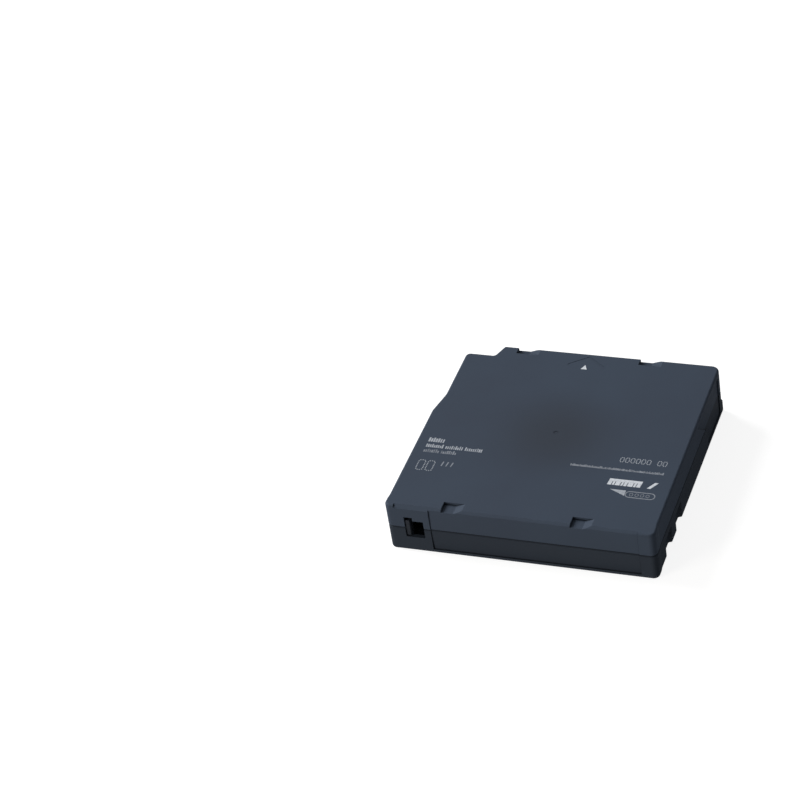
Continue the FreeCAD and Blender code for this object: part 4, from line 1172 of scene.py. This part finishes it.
@dataclass
class Studio:
    """Pale floor, soft lamps and the camera.

    The lamps and the world together light an upper face about as much as shows a colour as it is
    written. The world is white to the camera and in gloss, and so is the floor to the camera, while
    gloss shows the floor pale grey.
    """

    azimuth: float = 25.08
    elevation: float = 37.33
    roll: float = -9.98
    distance: float = 1.0656
    aim_across: float = 0.0624
    aim_up: float = -0.0299
    lens: float = 123.6
    nearest: float = 0.05
    farthest: float = 20.0
    floor_size: float = 6.0
    floor_drop: float = 0.02 * MM
    floor_tone: str = "#a6a6a6"
    floor_white: float = 0.86
    fibre_size: float = 2.0 * MM
    fibre_roughness: tuple[float, float] = (0.8, 0.95)
    mirror_tone: str = "#b8b8b8"
    mirror_white: float = 0.04
    world_level: float = 0.2
    softboxes: tuple[Softbox, ...] = (
        Softbox("key softbox", (-1.9, 0.6, 1.4), side=1.2, power=62.0),
        Softbox("front softbox", (-0.80, -0.90, 0.26), side=0.5, power=9.4, tint="#fffaf3"),
        Softbox("low softbox", (0.0, -0.1, -1.0), side=0.5, power=5.0),
    )

    def build(self) -> None:
        """Makes the floor, the world, the lamps and the camera."""
        self.floor()
        self.world()
        for softbox in self.softboxes:
            self.lamp(softbox)
        self.camera()

    def mirror_share(self, tree: bpy.types.NodeTree) -> bpy.types.NodeSocket:
        """Gives 1 to rays that gloss, metal and glass send on, and 0 to the rest."""
        ray = add_node(tree, "ShaderNodeLightPath").outputs
        return add_node(tree, MATH, LARGER, i0=ray["Is Glossy Ray"], i1=ray["Is Transmission Ray"]).outputs[0]

    def floor(self) -> None:
        """Makes the pale matt sheet under the cartridge, which keeps its soft shadow.

        The camera sees it near white, and gloss shows it pale grey where it is lit and darker where
        the cartridge shades it. It throws no light back and no shadow, and from below it is clear,
        so that the underside is lit and seen through it.
        """
        half = self.floor_size / 2
        mesh = bpy.data.meshes.new("studio_floor")
        z = cad_box[0].z - self.floor_drop
        mesh.from_pydata([(-half, -half, z), (half, -half, z), (half, half, z), (-half, half, z)], [],
                         [(0, 1, 2, 3)])
        mesh.materials.append(self.card())
        floor = new_object("studio_floor", mesh)
        floor.visible_diffuse = False
        floor.visible_shadow = False

    def card(self) -> bpy.types.Material:
        """Builds the floor's finish: matt card that glows to the camera and is clear from below.

        Returns:
            The material.
        """
        material, tree, shader, place = new_material("white card")
        fibre = add_node(tree, "ShaderNodeTexNoise", Scale=1 / self.fibre_size, Detail=2.0, Vector=place)
        rough = add_node(tree, RANGE, Value=fibre.outputs["Fac"], To_Min=self.fibre_roughness[0],
                         To_Max=self.fibre_roughness[1])
        mirrored = self.mirror_share(tree)
        tone = add_node(tree, MIX, COLOURS, i0=mirrored, i6=linear(self.floor_tone),
                        i7=linear(self.mirror_tone))
        path = add_node(tree, "ShaderNodeLightPath")
        seen = add_node(tree, MATH, MULTIPLY, i0=path.outputs["Is Camera Ray"], i1=self.floor_white)
        glow = add_node(tree, MATH, {"operation": "MULTIPLY_ADD"}, i0=mirrored, i1=self.mirror_white,
                        i2=seen.outputs[0])
        tree.links.new(rough.outputs[0], shader.inputs["Roughness"])
        tree.links.new(tone.outputs[2], shader.inputs["Base Color"])
        tree.links.new(glow.outputs[0], shader.inputs["Emission Strength"])
        shader.inputs["Emission Color"].default_value = linear("#ffffff")
        shader.inputs["Specular IOR Level"].default_value = 0.0
        below = add_node(tree, "ShaderNodeNewGeometry").outputs["Backfacing"]
        clear = add_node(tree, "ShaderNodeBsdfTransparent")
        sheet = add_node(tree, "ShaderNodeMixShader", i0=below, i1=shader.outputs[0], i2=clear.outputs[0])
        tree.links.new(sheet.outputs[0], tree.nodes["Material Output"].inputs["Surface"])
        return material

    def world(self) -> None:
        """Makes even light from all round, white where the camera or gloss sees it."""
        world = bpy.data.worlds.new("studio")
        world.use_nodes = True
        tree = world.node_tree
        path = add_node(tree, "ShaderNodeLightPath")
        seen = add_node(tree, MATH, LARGER, i0=self.mirror_share(tree), i1=path.outputs["Is Camera Ray"])
        level = add_node(tree, RANGE, Value=seen.outputs[0], To_Min=self.world_level, To_Max=1.0)
        background = tree.nodes["Background"]
        background.inputs["Color"].default_value = linear("#ffffff")
        tree.links.new(level.outputs[0], background.inputs["Strength"])
        bpy.context.scene.world = world

    def lamp(self, softbox: Softbox) -> None:
        """Adds one lamp, turned to the cartridge at the origin.

        Args:
            softbox: its place, size and light.
        """
        light = bpy.data.lights.new(softbox.name, "AREA")
        light.shape = "SQUARE"
        light.size = softbox.side
        light.energy = softbox.power
        light.color = linear(softbox.tint)[:3]
        lamp = new_object(softbox.name, light)
        lamp.location = softbox.place
        lamp.rotation_euler = (-Vector(softbox.place)).to_track_quat("-Z", "Y").to_euler()

    def camera(self) -> None:
        """Makes the camera at the viewing angle, turned about its own axis by the roll."""
        azimuth, elevation, roll = (math.radians(a) for a in (self.azimuth, self.elevation, self.roll))
        back = Vector((math.sin(azimuth) * math.cos(elevation), -math.cos(azimuth) * math.cos(elevation),
                       math.sin(elevation)))
        level = Vector((math.cos(azimuth), math.sin(azimuth), 0))
        up = back.cross(level)
        right = math.cos(roll) * level + math.sin(roll) * up
        top = math.cos(roll) * up - math.sin(roll) * level
        data = bpy.data.cameras.new("camera")
        data.lens = self.lens
        data.clip_start = self.nearest
        data.clip_end = self.farthest
        camera = new_object("camera", data)
        place = back * self.distance - right * self.aim_across - top * self.aim_up
        camera.matrix_world = Matrix.Translation(place) @ Matrix((right, top, back)).transposed().to_4x4()
        bpy.context.scene.camera = camera


# ---------------------------------------------------------------- everything
# Soft even sheen with no sharp reflection, a tone darker in a round patch about the middle, and painted shade
# in the joints and creases.
TOP_SHELL = MouldedPlastic("slate polycarbonate, spark-eroded", "#3d4552", "#434f5e", roughness=0.6,
                           specular=0.05, seam_mm=0.9, middle_tone="#393f49")
# The same skin over a darker tone: the lower shell's plastic is darker than the upper's, part of that
# darkening is painted shade, and there is painted shade in the joints.
BOTTOM_SHELL = MouldedPlastic("darker slate polycarbonate, spark-eroded", "#2f353e", "#333a43",
                              roughness=0.62, specular=0.05, seam_mm=0.9)
# Finer grain than the case, with a slightly waxy gloss on the ribs and painted shade in its creases.
DOOR_PLASTIC = MouldedPlastic("dark slate acetal, fine eroded", "#272b32", "#2b3138", roughness=0.5,
                              grain_mm=0.25, specular=0.15, seam_mm=0.9)
# Nearly black in its window, with just enough sheen to show the nub.
SLIDER_PLASTIC = MouldedPlastic("dark acetal, fine eroded", "#22262d", "#262b32", roughness=0.55,
                                grain_mm=0.25, specular=0.15)
# Mottled grey, where glass fibres lie near the skin.
REEL_PLASTIC = MouldedPlastic("grey glass-filled polycarbonate", "#6f7375", "#7b7f80", roughness=0.42,
                              grain_mm=0.5, flow_mm=9.0)
# Clean highlights on a smooth disc.
FLANGE_PLASTIC = MouldedPlastic("grey polycarbonate, polished", "#7d8184", "#878b8d", roughness=0.22,
                                grain_mm=1.2, grain_depth_mm=0.004, flow_mm=14.0)
# Warm white with the soft gloss of a slippery plastic.
NATURAL_ACETAL = MouldedPlastic("natural acetal, moulded", "#e4e0d4", "#d9d4c5", roughness=0.38,
                                grain_mm=0.3, flow_mm=5.0)
# Plain black with a dull shine.
CLIP_PLASTIC = MouldedPlastic("black nylon, moulded", "#1b1b1c", "#222324", roughness=0.45, flow_mm=3.0)
# Deep green lacquer with a wet shine.
BOARD_MASK = MouldedPlastic("green solder mask", "#1d5136", "#236041", roughness=0.3, grain_mm=0.6,
                            grain_depth_mm=0.006, flow_mm=4.0)
# Dull black block with no highlight of its own.
CHIP_EPOXY = MouldedPlastic("black epoxy, moulded", "#1c1c1d", "#242425", roughness=0.6, grain_mm=0.1,
                            flow_mm=1.0)
# Bright bar with a streak of light along it.
PIN_STEEL = WorkedSteel("stainless steel, turned bar", "#b9bab8", Lay.DRAWN, roughness=0.25, marks_mm=0.12)
# Grey wire with short glints on each turn.
WIRE_STEEL = WorkedSteel("spring steel, drawn wire", "#9a9b9b", Lay.DRAWN, roughness=0.3, marks_mm=0.1)
# Bright sheet with a soft grain.
SHEET_STEEL = WorkedSteel("stainless steel, rolled sheet", "#b4b5b3", Lay.DRAWN, roughness=0.3)
# Cool pale metal, a little milky.
ZINC = WorkedSteel("steel, zinc plated", "#c3c7cc", Lay.DRAWN, roughness=0.33, marks_mm=0.25)
# Fine rings round the middle that spread the light into a fan.
CLUTCH_STEEL = WorkedSteel("ferritic steel, pressed disc", "#b2b1ad", Lay.TURNED, roughness=0.34,
                           marks_mm=0.5)
# Warm thin lines that catch the light on the green.
COPPER = WorkedSteel("tinned copper track", "#c9a26b", Lay.DRAWN, roughness=0.35, marks_mm=0.3)
# Three strengths of one ink, from crisp to half lost in the plastic.
BRIGHT_INK = PrintInk("pale grey ink, pad printed", "#d3d8df", "#b4bac3")
DIM_INK = PrintInk("pale grey ink, thinly printed", "#a2a8b1", "#80868f")
FAINT_INK = PrintInk("pale grey ink, faintly printed", "#7f858f", "#656c76")


def main() -> None:
    """Builds and dresses everything, in order."""
    logging.basicConfig(level=logging.INFO, format="%(name)s: %(message)s")
    bpy.context.scene.view_settings.view_transform = "Standard"
    _, _, reel_middle = box_size("reel_hub")
    axis = (reel_middle.x, reel_middle.y, 0.0)
    clutch_steel, film = replace(CLUTCH_STEEL, centre=axis), WoundFilm(centre=axis)
    CaseShells().build(TOP_SHELL.build(), BOTTOM_SHELL.build(), ZINC.build(), BOARD_MASK.build(),
                       COPPER.build(), CHIP_EPOXY.build())
    Reel().build(REEL_PLASTIC.build(), FLANGE_PLASTIC.build(), film.build(), clutch_steel.build())
    ReelLock().build(NATURAL_ACETAL.build())
    TapeOpening().build(DOOR_PLASTIC.build(), PIN_STEEL.build(), SHEET_STEEL.build(), CLIP_PLASTIC.build())
    WriteProtect().build(SLIDER_PLASTIC.build())
    Springs().build(WIRE_STEEL.build())
    Printing().build(BRIGHT_INK.build(), DIM_INK.build(), FAINT_INK.build())
    Studio().build()


if __name__ == "__main__":
    main()
